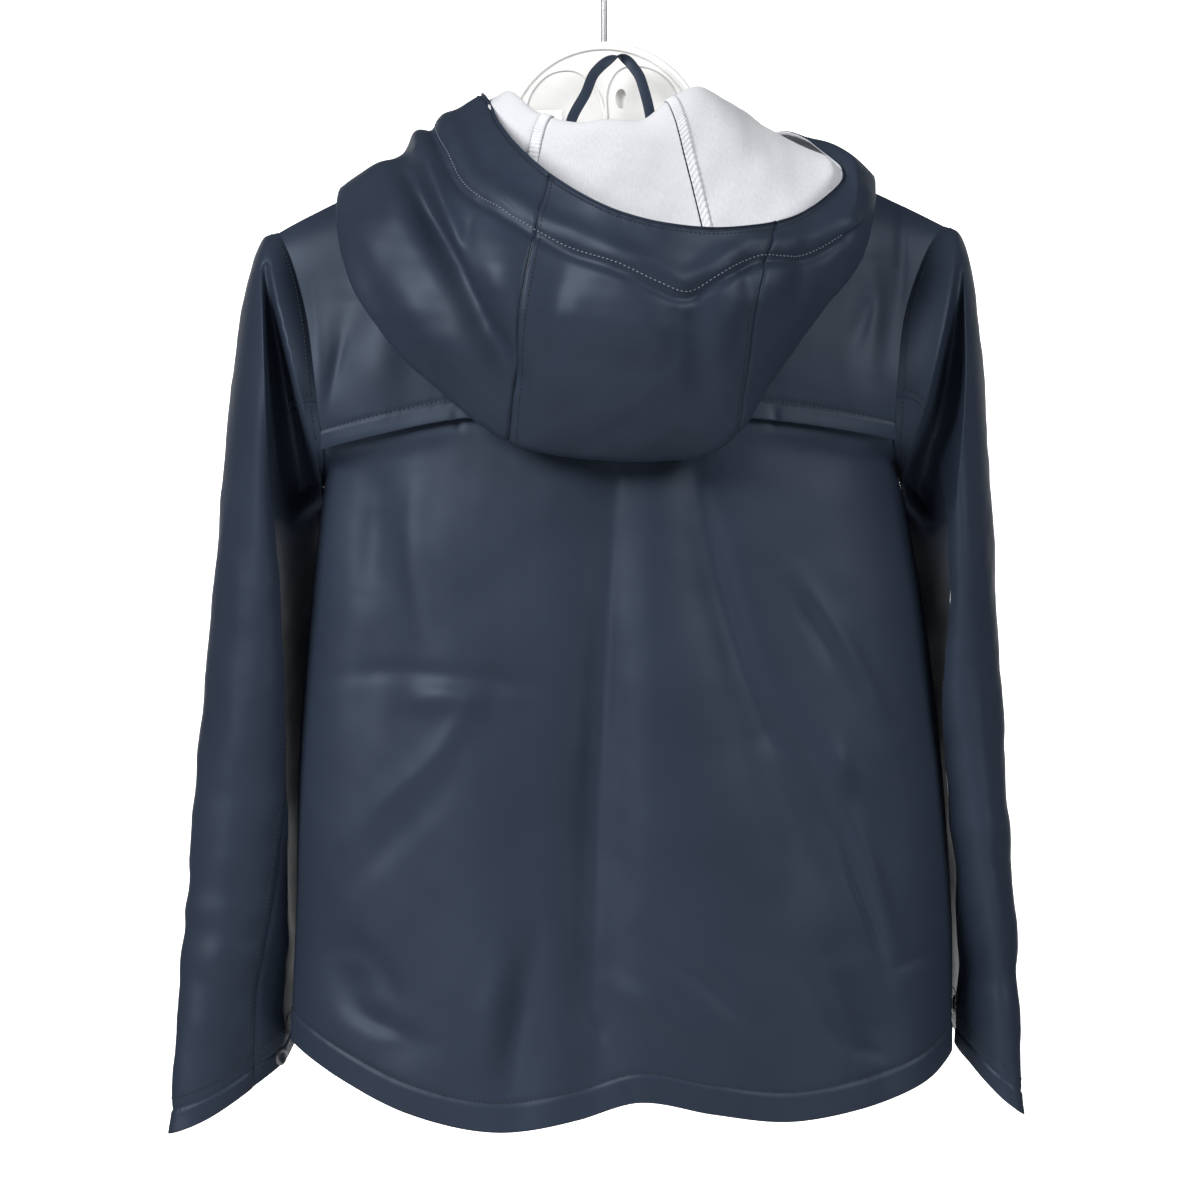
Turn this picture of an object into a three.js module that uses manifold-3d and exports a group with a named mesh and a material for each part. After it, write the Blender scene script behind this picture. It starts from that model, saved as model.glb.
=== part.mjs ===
// A child's hooded raincoat on a moulded hanger, hung by the hanger's hook.
// Millimetres, +Z up. The origin is the top of the hook's inside bend, where a rail carries it.
// The back of the coat faces -Y, so the wearer's left is at -X.

import * as THREE from "three";
import { mergeVertices } from "three/addons/utils/BufferGeometryUtils.js";
import Module from "manifold-3d";

const manifold = await Module();
manifold.setup();

// Driving sizes
const WALL = 1.2; // coated knit, with its inner side
const SEAM = 0.35; // between two pieces at a seam, or between a piece and what lies on it
const OVER = WALL + SEAM; // how far a piece moves out to lie on another

// Torso: a row for each level, from the shoulder line down to the hem.
// leftX and rightX are the armhole seam or the side, leftZ and rightZ their heights, midZ is halfway
// to the middle, backZ and frontZ are on the middle line, back and front are depths, wrap is how far
// the section turns round the side in degrees, and swellBack and swellFront round out the neck.
const TORSO = [
  { leftX: -168.5, leftZ: -187.5, rightX: 176, rightZ: -184, midZ: -148.5, backZ: -155, frontZ: -207,
    back: 0.6, front: 0.6, wrap: 40, swellBack: 38, swellFront: 47 },
  { leftX: -162, leftZ: -202, rightX: 166.5, rightZ: -198, midZ: -164, backZ: -169, frontZ: -214,
    back: 23, front: 24, wrap: 62, swellBack: 23, swellFront: 31 },
  { leftX: -153, leftZ: -232, rightX: 154.5, rightZ: -230, midZ: -199, backZ: -204, frontZ: -229,
    back: 45, front: 46, wrap: 51, swellBack: 8, swellFront: 15 },
  { leftX: -148, leftZ: -264, rightX: 150, rightZ: -262, midZ: -243, backZ: -245, frontZ: -254,
    back: 60, front: 60, wrap: 48, swellBack: 0, swellFront: 4 },
  { leftX: -143.6, leftZ: -299, rightX: 148, rightZ: -294, midZ: -285.5, backZ: -284, frontZ: -287,
    back: 69, front: 68, wrap: 60, swellBack: 0, swellFront: 0 },
  { leftX: -145.6, leftZ: -319, rightX: 153.4, rightZ: -316, midZ: -311, backZ: -309, frontZ: -311,
    back: 73, front: 71, wrap: 90, swellBack: 0, swellFront: 0 },
  { leftX: -151.3, leftZ: -371, rightX: 164.3, rightZ: -371, midZ: -371, backZ: -371, frontZ: -371,
    back: 76, front: 74, wrap: 90, swellBack: 0, swellFront: 0 },
  { leftX: -158, leftZ: -450, rightX: 174.2, rightZ: -450, midZ: -450, backZ: -450, frontZ: -450,
    back: 78, front: 76, wrap: 90, swellBack: 0, swellFront: 0 },
  { leftX: -160, leftZ: -540, rightX: 180.5, rightZ: -540, midZ: -542, backZ: -542, frontZ: -540,
    back: 79, front: 78, wrap: 90, swellBack: 0, swellFront: 0 },
  { leftX: -162.5, leftZ: -604, rightX: 180.4, rightZ: -610, midZ: -640, backZ: -632, frontZ: -628,
    back: 80, front: 79, wrap: 90, swellBack: 0, swellFront: 0 },
];
const HEM_LEVEL = TORSO.length - 1;
const UNDERARM_LEVEL = 5;
const YOKE_LEVEL = 4;
const YOKE_TUCK = 0.45; // levels that the back runs up under the yoke
const ROUNDNESS = 0.86; // 1 is an ellipse, less is squarer

// The shirt-tail hem behind: across runs from -1 at the left side seam to 1 at the right.
const BACK_HEM = [
  { across: -1, z: -604 }, { across: -0.92, z: -613 }, { across: -0.84, z: -621 }, { across: -0.64, z: -637 },
  { across: -0.36, z: -646 }, { across: -0.13, z: -639.5 }, { across: 0.05, z: -630.5 },
  { across: 0.27, z: -636.5 }, { across: 0.49, z: -641 }, { across: 0.7, z: -636 }, { across: 0.84, z: -629 },
  { across: 0.93, z: -621 }, { across: 1, z: -610 },
];
const FRONT_HEM = [
  { across: -1, z: -604 }, { across: -0.7, z: -622 }, { across: -0.35, z: -629 }, { across: 0, z: -630 },
  { across: 0.35, z: -629 }, { across: 0.7, z: -623 }, { across: 1, z: -610 },
];

// Main folds of the cloth: each follows three points down the panel. Depth is into the coat, less than 0 is a ridge.
const BACK_FOLDS = [
  { x: [9, 3, -6], z: [-318, -420, -640], width: 15, depth: 7 },
  { x: [46, 72, 140], z: [-312, -420, -590], width: 17, depth: 6 },
  { x: [20, 40, 62], z: [-330, -470, -640], width: 30, depth: -4 },
  { x: [-116, -112, -124], z: [-322, -390, -480], width: 15, depth: 5 },
  { x: [-92, -70, -60], z: [-360, -480, -640], width: 30, depth: -4 },
  { x: [-36, -40, -44], z: [-540, -600, -650], width: 13, depth: 4 },
  { x: [-134, -118, -100], z: [-560, -590, -600], width: 12, depth: 5 },
  { x: [120, 138, 150], z: [-560, -596, -640], width: 13, depth: 5 },
  { x: [-128, -136, -139], z: [-222, -252, -284], width: 9, depth: 4 },
  { x: [-104, -112, -116], z: [-206, -240, -280], width: 12, depth: -3 },
  { x: [137, 139, 138], z: [-200, -228, -262], width: 9, depth: 4 },
  { x: [150, 148, 146], z: [-210, -236, -262], width: 7, depth: -2.5 },
];
const FRONT_FOLDS = [
  { x: [-104, -96, -80], z: [-300, -430, -630], width: 17, depth: 6 },
  { x: [-60, -66, -50], z: [-330, -470, -620], width: 26, depth: -4 },
  { x: [96, 112, 120], z: [-290, -420, -630], width: 17, depth: 6 },
  { x: [64, 62, 70], z: [-340, -480, -620], width: 26, depth: -4 },
];

// Sleeves: a row for each section. top is the outer line, in is the line next to the body, ridge is where the
// nearest fold at the back lies between them, back and front are depths off the line from top to in, dent is how
// far the side towards the body falls in, sag is how far the ridge hangs below the section's line, and seam is
// the back seam's place round the section, in sixths: the top is 0, the back ridge 2 and the line next to the body 3.
const LEFT_SLEEVE = [
  { topX: -169.5, topY: 0, topZ: -187.5, inX: -146.5, inY: 0, inZ: -319,
    back: -46, ridge: 0.64, front: 46, dent: 0, sag: 0, seam: 2 },
  { topX: -178, topY: 0, topZ: -190, inX: -147.9, inY: 7, inZ: -325,
    back: -50, ridge: 0.66, front: 50, dent: 1, sag: 0, seam: 2 },
  { topX: -184.5, topY: 0, topZ: -207, inX: -149, inY: 15, inZ: -333,
    back: -53, ridge: 0.57, front: 52, dent: 2, sag: 0, seam: 2 },
  { topX: -190.5, topY: 0, topZ: -240, inX: -148, inY: 26, inZ: -346,
    back: -54, ridge: 0.51, front: 52, dent: 4, sag: 0, seam: 2.06 },
  { topX: -195.5, topY: 0, topZ: -282, inX: -147, inY: 33, inZ: -364,
    back: -54, ridge: 0.536, front: 50, dent: 8, sag: 0, seam: 2.12 },
  { topX: -200.5, topY: -2, topZ: -344, inX: -148, inY: 36, inZ: -396,
    back: -54, ridge: 0.66, front: 48, dent: 12, sag: 0, seam: 2.14 },
  { topX: -208.5, topY: -6, topZ: -433, inX: -151, inY: 38, inZ: -452,
    back: -52, ridge: 0.78, front: 42, dent: 12, sag: 0, seam: 2.1 },
  { topX: -215, topY: -12, topZ: -520, inX: -152, inY: 42, inZ: -516,
    back: -46, ridge: 0.82, front: 34, dent: 9, sag: 1, seam: 1.8 },
  { topX: -220, topY: -18, topZ: -590, inX: -152.5, inY: 46, inZ: -564,
    back: -40, ridge: 0.81, front: 27, dent: 6, sag: 4, seam: 1.56 },
  { topX: -223.5, topY: -24, topZ: -652, inX: -153, inY: 50, inZ: -598,
    back: -34, ridge: 0.8, front: 22, dent: 4, sag: 8, seam: 1.55 },
];
const RIGHT_SLEEVE = [
  { topX: 177, topY: 0, topZ: -184, inX: 154.3, inY: 0, inZ: -316,
    back: -46, ridge: 0.64, front: 46, dent: 0, sag: 0, seam: 2 },
  { topX: 184.5, topY: 0, topZ: -187, inX: 156, inY: 7, inZ: -322,
    back: -50, ridge: 0.7, front: 50, dent: 1, sag: 0, seam: 2 },
  { topX: 190, topY: 0, topZ: -202, inX: 157.5, inY: 15, inZ: -331,
    back: -54, ridge: 0.65, front: 52, dent: 2, sag: 0, seam: 2.05 },
  { topX: 195, topY: 0, topZ: -232, inX: 155.5, inY: 26, inZ: -343,
    back: -56, ridge: 0.6, front: 52, dent: 4, sag: 0, seam: 2.1 },
  { topX: 198.5, topY: 0, topZ: -276, inX: 156, inY: 34, inZ: -360,
    back: -56, ridge: 0.55, front: 50, dent: 8, sag: 0, seam: 2.16 },
  { topX: 202, topY: -2, topZ: -338, inX: 160, inY: 36, inZ: -394,
    back: -56, ridge: 0.605, front: 48, dent: 12, sag: 0, seam: 2.15 },
  { topX: 206.5, topY: -6, topZ: -429, inX: 166, inY: 38, inZ: -456,
    back: -52, ridge: 0.788, front: 42, dent: 12, sag: 0, seam: 2.05 },
  { topX: 211, topY: -12, topZ: -516, inX: 177, inY: 42, inZ: -519,
    back: -50, ridge: 0.87, front: 34, dent: 8, sag: 1, seam: 2.05 },
  { topX: 214, topY: -18, topZ: -582, inX: 179, inY: 46, inZ: -562,
    back: -42, ridge: 0.888, front: 27, dent: 6, sag: 3, seam: 2.05 },
  { topX: 216, topY: -24, topZ: -642, inX: 179.5, inY: 50, inZ: -597,
    back: -36, ridge: 0.9, front: 22, dent: 5, sag: 6, seam: 2.05 },
];
const SLEEVES = [{ side: -1, word: "left", rows: LEFT_SLEEVE }, { side: 1, word: "right", rows: RIGHT_SLEEVE }];
const SLEEVE_END = LEFT_SLEEVE.length - 1;
// The steep valley behind each upper arm runs from the shoulder's point to the underarm. Widths and depths are
// at the top, half way and at the bottom.
const SLEEVE_VALLEYS = [
  { x: [-174, -165.5, -158.5], z: [-208, -262, -318], width: [3, 8.5, 14], depth: [4, 26, 18] },
  { x: [183, 176, 167], z: [-210, -265, -318], width: [3, 9.5, 15], depth: [4, 26, 18] },
];
const FRONT_SEAM = 4.4; // the same for the seam at the front
const SLEEVE_SEAM_GAP = 0.009; // sixths of the section, each side of a seam
const ARMHOLE_GAP = 1.05; // from the torso's edge to the sleeve's

// Hood, hanging open down the back: a row for each section round the neck, by its angle from the middle of
// the back. The cloth goes up from the neck to roll, down to fold, out through bulge and up to the rim. puff is
// how far the bulge stands above halfway between fold and rim.
const HOOD = [
  { angle: -166, rollX: -18, rollY: 51, rollZ: -199, foldX: -24, foldY: 61, foldZ: -205, bulge: 63, puff: 0,
    rimX: -15, rimY: 60, rimZ: -196 },
  { angle: -140, rollX: -50, rollY: 38, rollZ: -165, foldX: -72, foldY: 58, foldZ: -196, bulge: 58, puff: 4,
    rimX: -42, rimY: 52, rimZ: -158 },
  { angle: -112, rollX: -61, rollY: 21, rollZ: -127, foldX: -116, foldY: 36, foldZ: -176, bulge: 38, puff: 6,
    rimX: -58, rimY: 27, rimZ: -120 },
  { angle: -90, rollX: -62, rollY: 1, rollZ: -121, foldX: -137, foldY: -14, foldZ: -165, bulge: -24, puff: 0,
    rimX: -63, rimY: -6, rimZ: -114.6 },
  { angle: -75, rollX: -55, rollY: -14, rollZ: -119, foldX: -134.5, foldY: -48, foldZ: -199, bulge: -58, puff: 0,
    rimX: -59, rimY: -25, rimZ: -120 },
  { angle: -60, rollX: -48.4, rollY: -25, rollZ: -118.2, foldX: -119, foldY: -68, foldZ: -233, bulge: -82, puff: 0,
    rimX: -53, rimY: -50, rimZ: -134 },
  { angle: -35, rollX: -33, rollY: -39, rollZ: -125, foldX: -86, foldY: -80, foldZ: -269, bulge: -112, puff: 0,
    rimX: -35, rimY: -86, rimZ: -156.7 },
  { angle: -15, rollX: -14, rollY: -46, rollZ: -137, foldX: -43, foldY: -84, foldZ: -300, bulge: -124, puff: 0,
    rimX: -12, rimY: -110, rimZ: -174.4 },
  { angle: 0, rollX: 1, rollY: -47, rollZ: -135.5, foldX: 8, foldY: -85, foldZ: -307.5, bulge: -130, puff: 0,
    rimX: 7.3, rimY: -121, rimZ: -184.3 },
  { angle: 18, rollX: 19, rollY: -45, rollZ: -136, foldX: 56, foldY: -84, foldZ: -303, bulge: -130, puff: 0,
    rimX: 35.4, rimY: -125, rimZ: -191.5 },
  { angle: 38, rollX: 34, rollY: -39, rollZ: -125, foldX: 84, foldY: -80, foldZ: -268, bulge: -116, puff: 0,
    rimX: 67.4, rimY: -112, rimZ: -191.5 },
  { angle: 58, rollX: 50, rollY: -28, rollZ: -116, foldX: 109, foldY: -70, foldZ: -231, bulge: -90, puff: 0,
    rimX: 98.4, rimY: -84, rimZ: -182.8 },
  { angle: 75, rollX: 63, rollY: -14, rollZ: -121, foldX: 132, foldY: -50, foldZ: -201, bulge: -64, puff: 1,
    rimX: 122, rimY: -43, rimZ: -162 },
  { angle: 90, rollX: 75, rollY: 0, rollZ: -126, foldX: 140, foldY: -14, foldZ: -160, bulge: -28, puff: 5,
    rimX: 118, rimY: -16, rimZ: -149 },
  { angle: 112, rollX: 82, rollY: 18, rollZ: -137, foldX: 124, foldY: 33, foldZ: -176, bulge: 32, puff: 13,
    rimX: 93, rimY: 24, rimZ: -131.7 },
  { angle: 140, rollX: 58, rollY: 38, rollZ: -165, foldX: 80, foldY: 58, foldZ: -196, bulge: 58, puff: 6,
    rimX: 54, rimY: 52, rimZ: -158 },
  { angle: 166, rollX: 26, rollY: 51, rollZ: -199, foldX: 32, foldY: 61, foldZ: -205, bulge: 63, puff: 0,
    rimX: 23, rimY: 60, rimZ: -196 },
];
// Main folds in the outer side of the hood's bag, as in BACK_FOLDS.
const HOOD_FOLDS = [
  { x: [-107, -80, -46], z: [-146, -203, -268], width: 9, depth: 11 },
  { x: [-97, -76, -56], z: [-136, -192, -240], width: 5, depth: -5 },
  { x: [-124, -108, -66], z: [-188, -214, -276], width: 14, depth: -4 },
  { x: [-56, -50, -44], z: [-186, -218, -250], width: 13, depth: -4 },
  { x: [47, 46, 48], z: [-212, -240, -284], width: 9, depth: 4 },
  { x: [12, 18, 22], z: [-212, -246, -264], width: 16, depth: -3 },
  { x: [86, 92, 84], z: [-206, -228, -262], width: 12, depth: -3 },
];
const ROLL_WIDTH = 12; // how far the rolled edge at the neck reaches back over itself
const ROLL_DROP = 9; // how far it comes down there
const ROLL_FADE = 30; // degrees over which the roll runs out to the front corners
const FLAT_SIDE = 85; // degrees up to which the hood's inner wall lies on the yoke
const HOOD_REST = 3.2; // the hood's inner wall off the yoke
const HOOD_NECK_GAP = 0.85; // the hood's edge above the yoke's or the fronts' at the neck
// The two seams of the hood, as angles at the neck, roll, rest, fold, bulge and rim.
const HOOD_SEAM_LEFT = [-30, -33, -30, -24, -17, -22, -28];
const HOOD_SEAM_RIGHT = [30, 37, 34, 30, 24, 38, 50];
const HOOD_SEAM_GAP = 0.22; // degrees
const HOOD_END = 6;

// Hanger: dome, arms inside the shoulders, and the wire hook
const DOME_RADIUS = 54;
const DOME_TOP = -87;
const ARM_THICK = 10;
const ARM_DEPTH = 20;
const ARM_REACH = 154; // each side of ARM_MIDDLE
const ARM_MIDDLE = 3.8;
const NECK_HALF = 84; // where the arms run into the dome
const RECESS = { x: 8.8, z: -117, radius: 3, stretch: 1.7 }; // a blind oblong in the dome's back
const ARM_TIP = [[3, -5], [3, -11], [-4, -16]]; // outward and up from the end of an arm's top line
const ARM_BOTTOM = [[60, -3], [25, 2]]; // each side of ARM_MIDDLE, and up from the arms' depth
const ARM_BEVEL = 2.5;
const ARM_UNDER = 5.2; // the arms' top below the cloth's outer face at the shoulder
const WIRE_RADIUS = 1.55;
const HOOK_RADIUS = 20; // inside the bend
const STEM_INTO_DOME = 14;

// Small pieces
const LOOP_WIDTH = 4.4;
const LOOP_PATH = [ // lean is how far the loop stands forward of the neck seam
  { x: -17.2, z: -152.5, lean: 0 }, { x: -17.2, z: -133, lean: 1 }, { x: -9.6, z: -117, lean: 8 },
  { x: -4.2, z: -105, lean: 13 }, { x: 7.3, z: -96.6, lean: 16 }, { x: 16.4, z: -104.5, lean: 13 },
  { x: 20.6, z: -115, lean: 9 }, { x: 24, z: -132, lean: 1 }, { x: 24, z: -152.5, lean: 0 },
];
const LABEL_LEFT = -41;
const LABEL_RIGHT = -22;
const LABEL_BOTTOM = -151;
const LABEL_TOP = -128;
const STUD_RADIUS = 5;
const STUD_HEIGHT = 1.8;
const STUD_GAP = 0.5; // from the cloth, which is slightly curved there
const STUD_PITCH = 84;
const TOP_STUD = -236; // height of the front's highest
const CUFF_STUDS = { left: { turn: 1.93, down: 8.85 }, right: { turn: 2.45, down: 8.62 } };
const FRONT_STUDS = 5;
const OVERLAP_HALF = 17; // the fronts overlap this far each side of the middle
const FRONT_HALF = 160; // half the width of the fronts together

const navy = new THREE.MeshStandardMaterial({ color: 0x2b3442, roughness: 0.55, metalness: 0 });
const white = new THREE.MeshStandardMaterial({ color: 0xf0f0ee, roughness: 0.4, metalness: 0 });
const steel = new THREE.MeshStandardMaterial({ color: 0xb9bdc0, roughness: 0.3, metalness: 1 });
const gunmetal = new THREE.MeshStandardMaterial({ color: 0x4b4d52, roughness: 0.35, metalness: 1 });

const clamp = THREE.MathUtils.clamp;
const lerp = THREE.MathUtils.lerp;
const radians = THREE.MathUtils.degToRad;

// A smooth curve through the values that stand at evenly spaced stations 0, 1, 2 and so on.
function smooth(values, station) {
  const last = values.length - 1;
  const i = clamp(Math.floor(station), 0, last - 1);
  const t = station - i;
  const before = values[Math.max(i - 1, 0)];
  const after = values[Math.min(i + 2, last)];
  const slopeIn = (values[i + 1] - before) / 2;
  const slopeOut = (after - values[i]) / 2;
  return hermite(values[i], values[i + 1], slopeIn, slopeOut, t);
}

function hermite(from, to, slopeIn, slopeOut, t) {
  const t2 = t * t;
  const t3 = t2 * t;
  return from * (2 * t3 - 3 * t2 + 1) + slopeIn * (t3 - 2 * t2 + t) + to * (3 * t2 - 2 * t3) + slopeOut * (t3 - t2);
}

// The same through a table's rows, whose stations are given by one of its columns.
function alongTable(rows, stationKey, key, at) {
  const last = rows.length - 1;
  let i = 0;
  while (i < last - 1 && at > rows[i + 1][stationKey]) i += 1;
  const slope = (a, b) => (rows[b][key] - rows[a][key]) / (rows[b][stationKey] - rows[a][stationKey]);
  const span = rows[i + 1][stationKey] - rows[i][stationKey];
  const here = slope(i, i + 1);
  const slopeIn = i > 0 ? (slope(i - 1, i) + here) / 2 : here;
  const slopeOut = i + 1 < last ? (here + slope(i + 1, i + 2)) / 2 : here;
  const t = (at - rows[i][stationKey]) / span;
  return hermite(rows[i][key], rows[i + 1][key], slopeIn * span, slopeOut * span, t);
}

const torsoColumns = {};
for (const key of Object.keys(TORSO[0])) torsoColumns[key] = TORSO.map((row) => row[key]);

// How far a place lies from a fold's line, how far beyond its ends, and how far down it, from 0 to 1.
function foldOffset(fold, x, z) {
  const [top, , bottom] = fold.z;
  const along = (height) => (height - top) / (bottom - top);
  const line = [0, 1, 2].map((i) => ({ way: along(fold.z[i]), x: fold.x[i] }));
  const way = clamp(along(z), 0, 1);
  return { off: x - alongTable(line, "way", "x", way), beyond: Math.max(z - top, bottom - z, 0), way };
}

// How deep the soft folds are at a place on a panel.
function foldDepth(folds, x, z) {
  let sum = 0;
  for (const fold of folds) {
    const { off, beyond, way } = foldOffset(fold, x, z);
    const reach = Math.hypot(off, beyond) / fold.width;
    const fade = 0.35 + 0.65 * Math.sin(Math.PI * clamp(way, 0.05, 1));
    sum += fold.depth * Math.exp(-reach * reach) * fade;
  }
  return sum;
}

// How deep a trough with sharp edges is, which widens on its way down.
function valleyDepth(valley, x, z) {
  const { off, beyond, way } = foldOffset(valley, x, z);
  const reach = Math.hypot(off, 0.5 * beyond) / smooth(valley.width, 2 * way);
  return smooth(valley.depth, 2 * way) * Math.max(1 - reach * reach, 0);
}

// The height of a torso level, before the hem's own line.
function levelZ(side, across, level) {
  const at = (key) => smooth(torsoColumns[key], level);
  const outer = Math.pow(Math.max(2 * Math.abs(across) - 1, 0), 1.2);
  const inner = Math.abs(across) < 0.5 ? Math.cos(Math.PI * across) ** 2 : 0;
  const mid = at("midZ");
  return mid + (at(across < 0 ? "leftZ" : "rightZ") - mid) * outer + (at(side < 0 ? "backZ" : "frontZ") - mid) * inner;
}

// A point on the torso's outer face: side is -1 for the back and 1 for the front.
function torso(side, across, level) {
  const at = (key) => smooth(torsoColumns[key], level);
  const back = side < 0;
  const half = (at("rightX") - at("leftX")) / 2;
  const x = (at("rightX") + at("leftX")) / 2 + half * across;
  const turn = across * Math.sin(radians(at("wrap")));
  const depth = Math.max(at(back ? "back" : "front"), 0);
  const swell = Math.max(at(back ? "swellBack" : "swellFront"), 0);
  const inNeck = Math.max(1 - 4 * across * across, 0);
  const round = Math.pow(Math.max(1 - turn * turn, 0), ROUNDNESS / 2);
  let out = depth * round + swell * Math.pow(inNeck, 0.5 + 0.6 * Math.min(level, 2));
  let z = levelZ(side, across, level);
  if (level > HEM_LEVEL - 1) {
    const hem = alongTable(back ? BACK_HEM : FRONT_HEM, "across", "z", across);
    z = lerp(levelZ(side, across, HEM_LEVEL - 1), hem, level - HEM_LEVEL + 1);
  }
  const folds = back ? BACK_FOLDS : FRONT_FOLDS;
  const nearMiddle = 1 - across ** 8;
  out -= foldDepth(folds, x, z) * nearMiddle;
  return new THREE.Vector3(x, side * out, z);
}

// How far across a level a given x lies.
function acrossAt(x, level) {
  const left = smooth(torsoColumns.leftX, level);
  const right = smooth(torsoColumns.rightX, level);
  return clamp((2 * x - left - right) / (right - left), -1, 1);
}

// The torso's outer face at a given x and z.
function torsoFace(side, x, z) {
  let high = 0;
  let low = HEM_LEVEL;
  let point = torso(side, 0, 0);
  for (let i = 0; i < 24; i += 1) {
    const level = (high + low) / 2;
    point = torso(side, acrossAt(x, level), level);
    if (point.z > z) high = level;
    else low = level;
  }
  return point;
}

// A point on the armhole seam: turn is 0 at the shoulder, 3 at the underarm and 6 at the shoulder again.
function armhole(across, turn) {
  const half = turn <= 3 ? turn : 6 - turn;
  const level = smooth([0, 1.75, 3.35, UNDERARM_LEVEL], half);
  const point = torso(turn <= 3 ? -1 : 1, across, clamp(level, 0, UNDERARM_LEVEL));
  point.x += across * ARMHOLE_GAP;
  return point;
}

// A closed smooth curve through six points, one at each whole turn.
function ring(points, turn) {
  const i = Math.floor(turn);
  const [a, b, c, d] = [-1, 0, 1, 2].map((k) => points[(i + k + 12) % 6]);
  const t = turn - i;
  const value = (key) => hermite(b[key], c[key], (c[key] - a[key]) / 2, (d[key] - b[key]) / 2, t);
  return new THREE.Vector3(value("x"), value("y"), value("z"));
}

function sleeveControls(rows, down) {
  const at = (key) => smooth(rows.map((row) => row[key]), down);
  const top = new THREE.Vector3(at("topX"), at("topY"), at("topZ"));
  const inner = new THREE.Vector3(at("inX"), at("inY"), at("inZ"));
  const place = (share, y, drop = 0) => top.clone().lerp(inner, share).add(new THREE.Vector3(0, y, -drop));
  const ridge = at("ridge");
  return [
    top,
    place(0.42 * ridge, 0.8 * at("back"), at("sag")),
    place(ridge, at("back"), at("sag")),
    inner,
    place(0.6, at("front")),
    place(0.13, 0.84 * at("front")),
  ];
}

function sleeve(side, turn, down) {
  const { rows } = SLEEVES[side < 0 ? 0 : 1];
  const wrapped = ((turn % 6) + 6) % 6;
  const point = ring(sleeveControls(rows, down), wrapped);
  const near = Math.max(1 - down, 0);
  const seam = armhole(side, wrapped).sub(ring(sleeveControls(rows, 0), wrapped));
  point.addScaledVector(seam, near * near);
  const facingBody = Math.sin(Math.PI * clamp(wrapped - 2, 0, 1));
  point.x += side * smooth(rows.map((row) => row.dent), down) * facingBody;
  if (point.y < 0) {
    const deep = valleyDepth(SLEEVE_VALLEYS[side < 0 ? 0 : 1], point.x, point.z);
    point.y += deep * THREE.MathUtils.smoothstep(down, 0, 0.6) * clamp(-point.y / 12, 0, 1);
  }
  return point;
}

// The hood's face: way runs from the neck seam at 0 over the roll and round the bag to the rim.
function hoodPoint(angle, way) {
  const at = (key) => alongTable(HOOD, "angle", key, angle);
  const front = Math.abs(angle) > 90;
  const neck = torso(front ? 1 : -1, 0.5 * Math.sin(radians(angle)), 0);
  neck.z += HOOD_NECK_GAP + (front ? OVER - SEAM + 0.1 : 0);
  const roll = new THREE.Vector3(at("rollX"), at("rollY"), at("rollZ"));
  const fold = new THREE.Vector3(at("foldX"), at("foldY"), at("foldZ"));
  const rim = new THREE.Vector3(at("rimX"), at("rimY"), at("rimZ"));
  const outward = new THREE.Vector3(fold.x - neck.x, fold.y - neck.y, 0).normalize();
  const share = clamp((HOOD[HOOD.length - 1].angle - Math.abs(angle)) / ROLL_FADE, 0.1, 1);
  const rolled = roll.clone().addScaledVector(outward, ROLL_WIDTH * share);
  rolled.z -= ROLL_DROP * share;
  const rest = rolled.clone().lerp(fold, 0.55);
  if (Math.abs(angle) < FLAT_SIDE) {
    const face = torsoFace(-1, rest.x, rest.z);
    rest.y = Math.min(face.y - OVER - HOOD_REST, rest.y);
  }
  const bulge = fold.clone().lerp(rim, 0.5);
  bulge.y = at("bulge");
  bulge.z += at("puff");
  const profile = [neck, roll, rolled, rest, fold, bulge, rim];
  const value = (key) => smooth(profile.map((p) => p[key]), way);
  return new THREE.Vector3(value("x"), value("y"), value("z"));
}

// How far the folds move the hood's outer side out.
function hoodRise(point, way) {
  const outside = THREE.MathUtils.smoothstep(way, 4, 4.6) * (1 - THREE.MathUtils.smoothstep(point.y, 5, 40));
  return outside > 0 ? -outside * foldDepth(HOOD_FOLDS, point.x, point.z) : 0;
}

// Evenly spaced stations from one value to another.
const stations = (from, to, steps) => Array.from({ length: steps + 1 }, (_, i) => lerp(from, to, i / steps));

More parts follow.
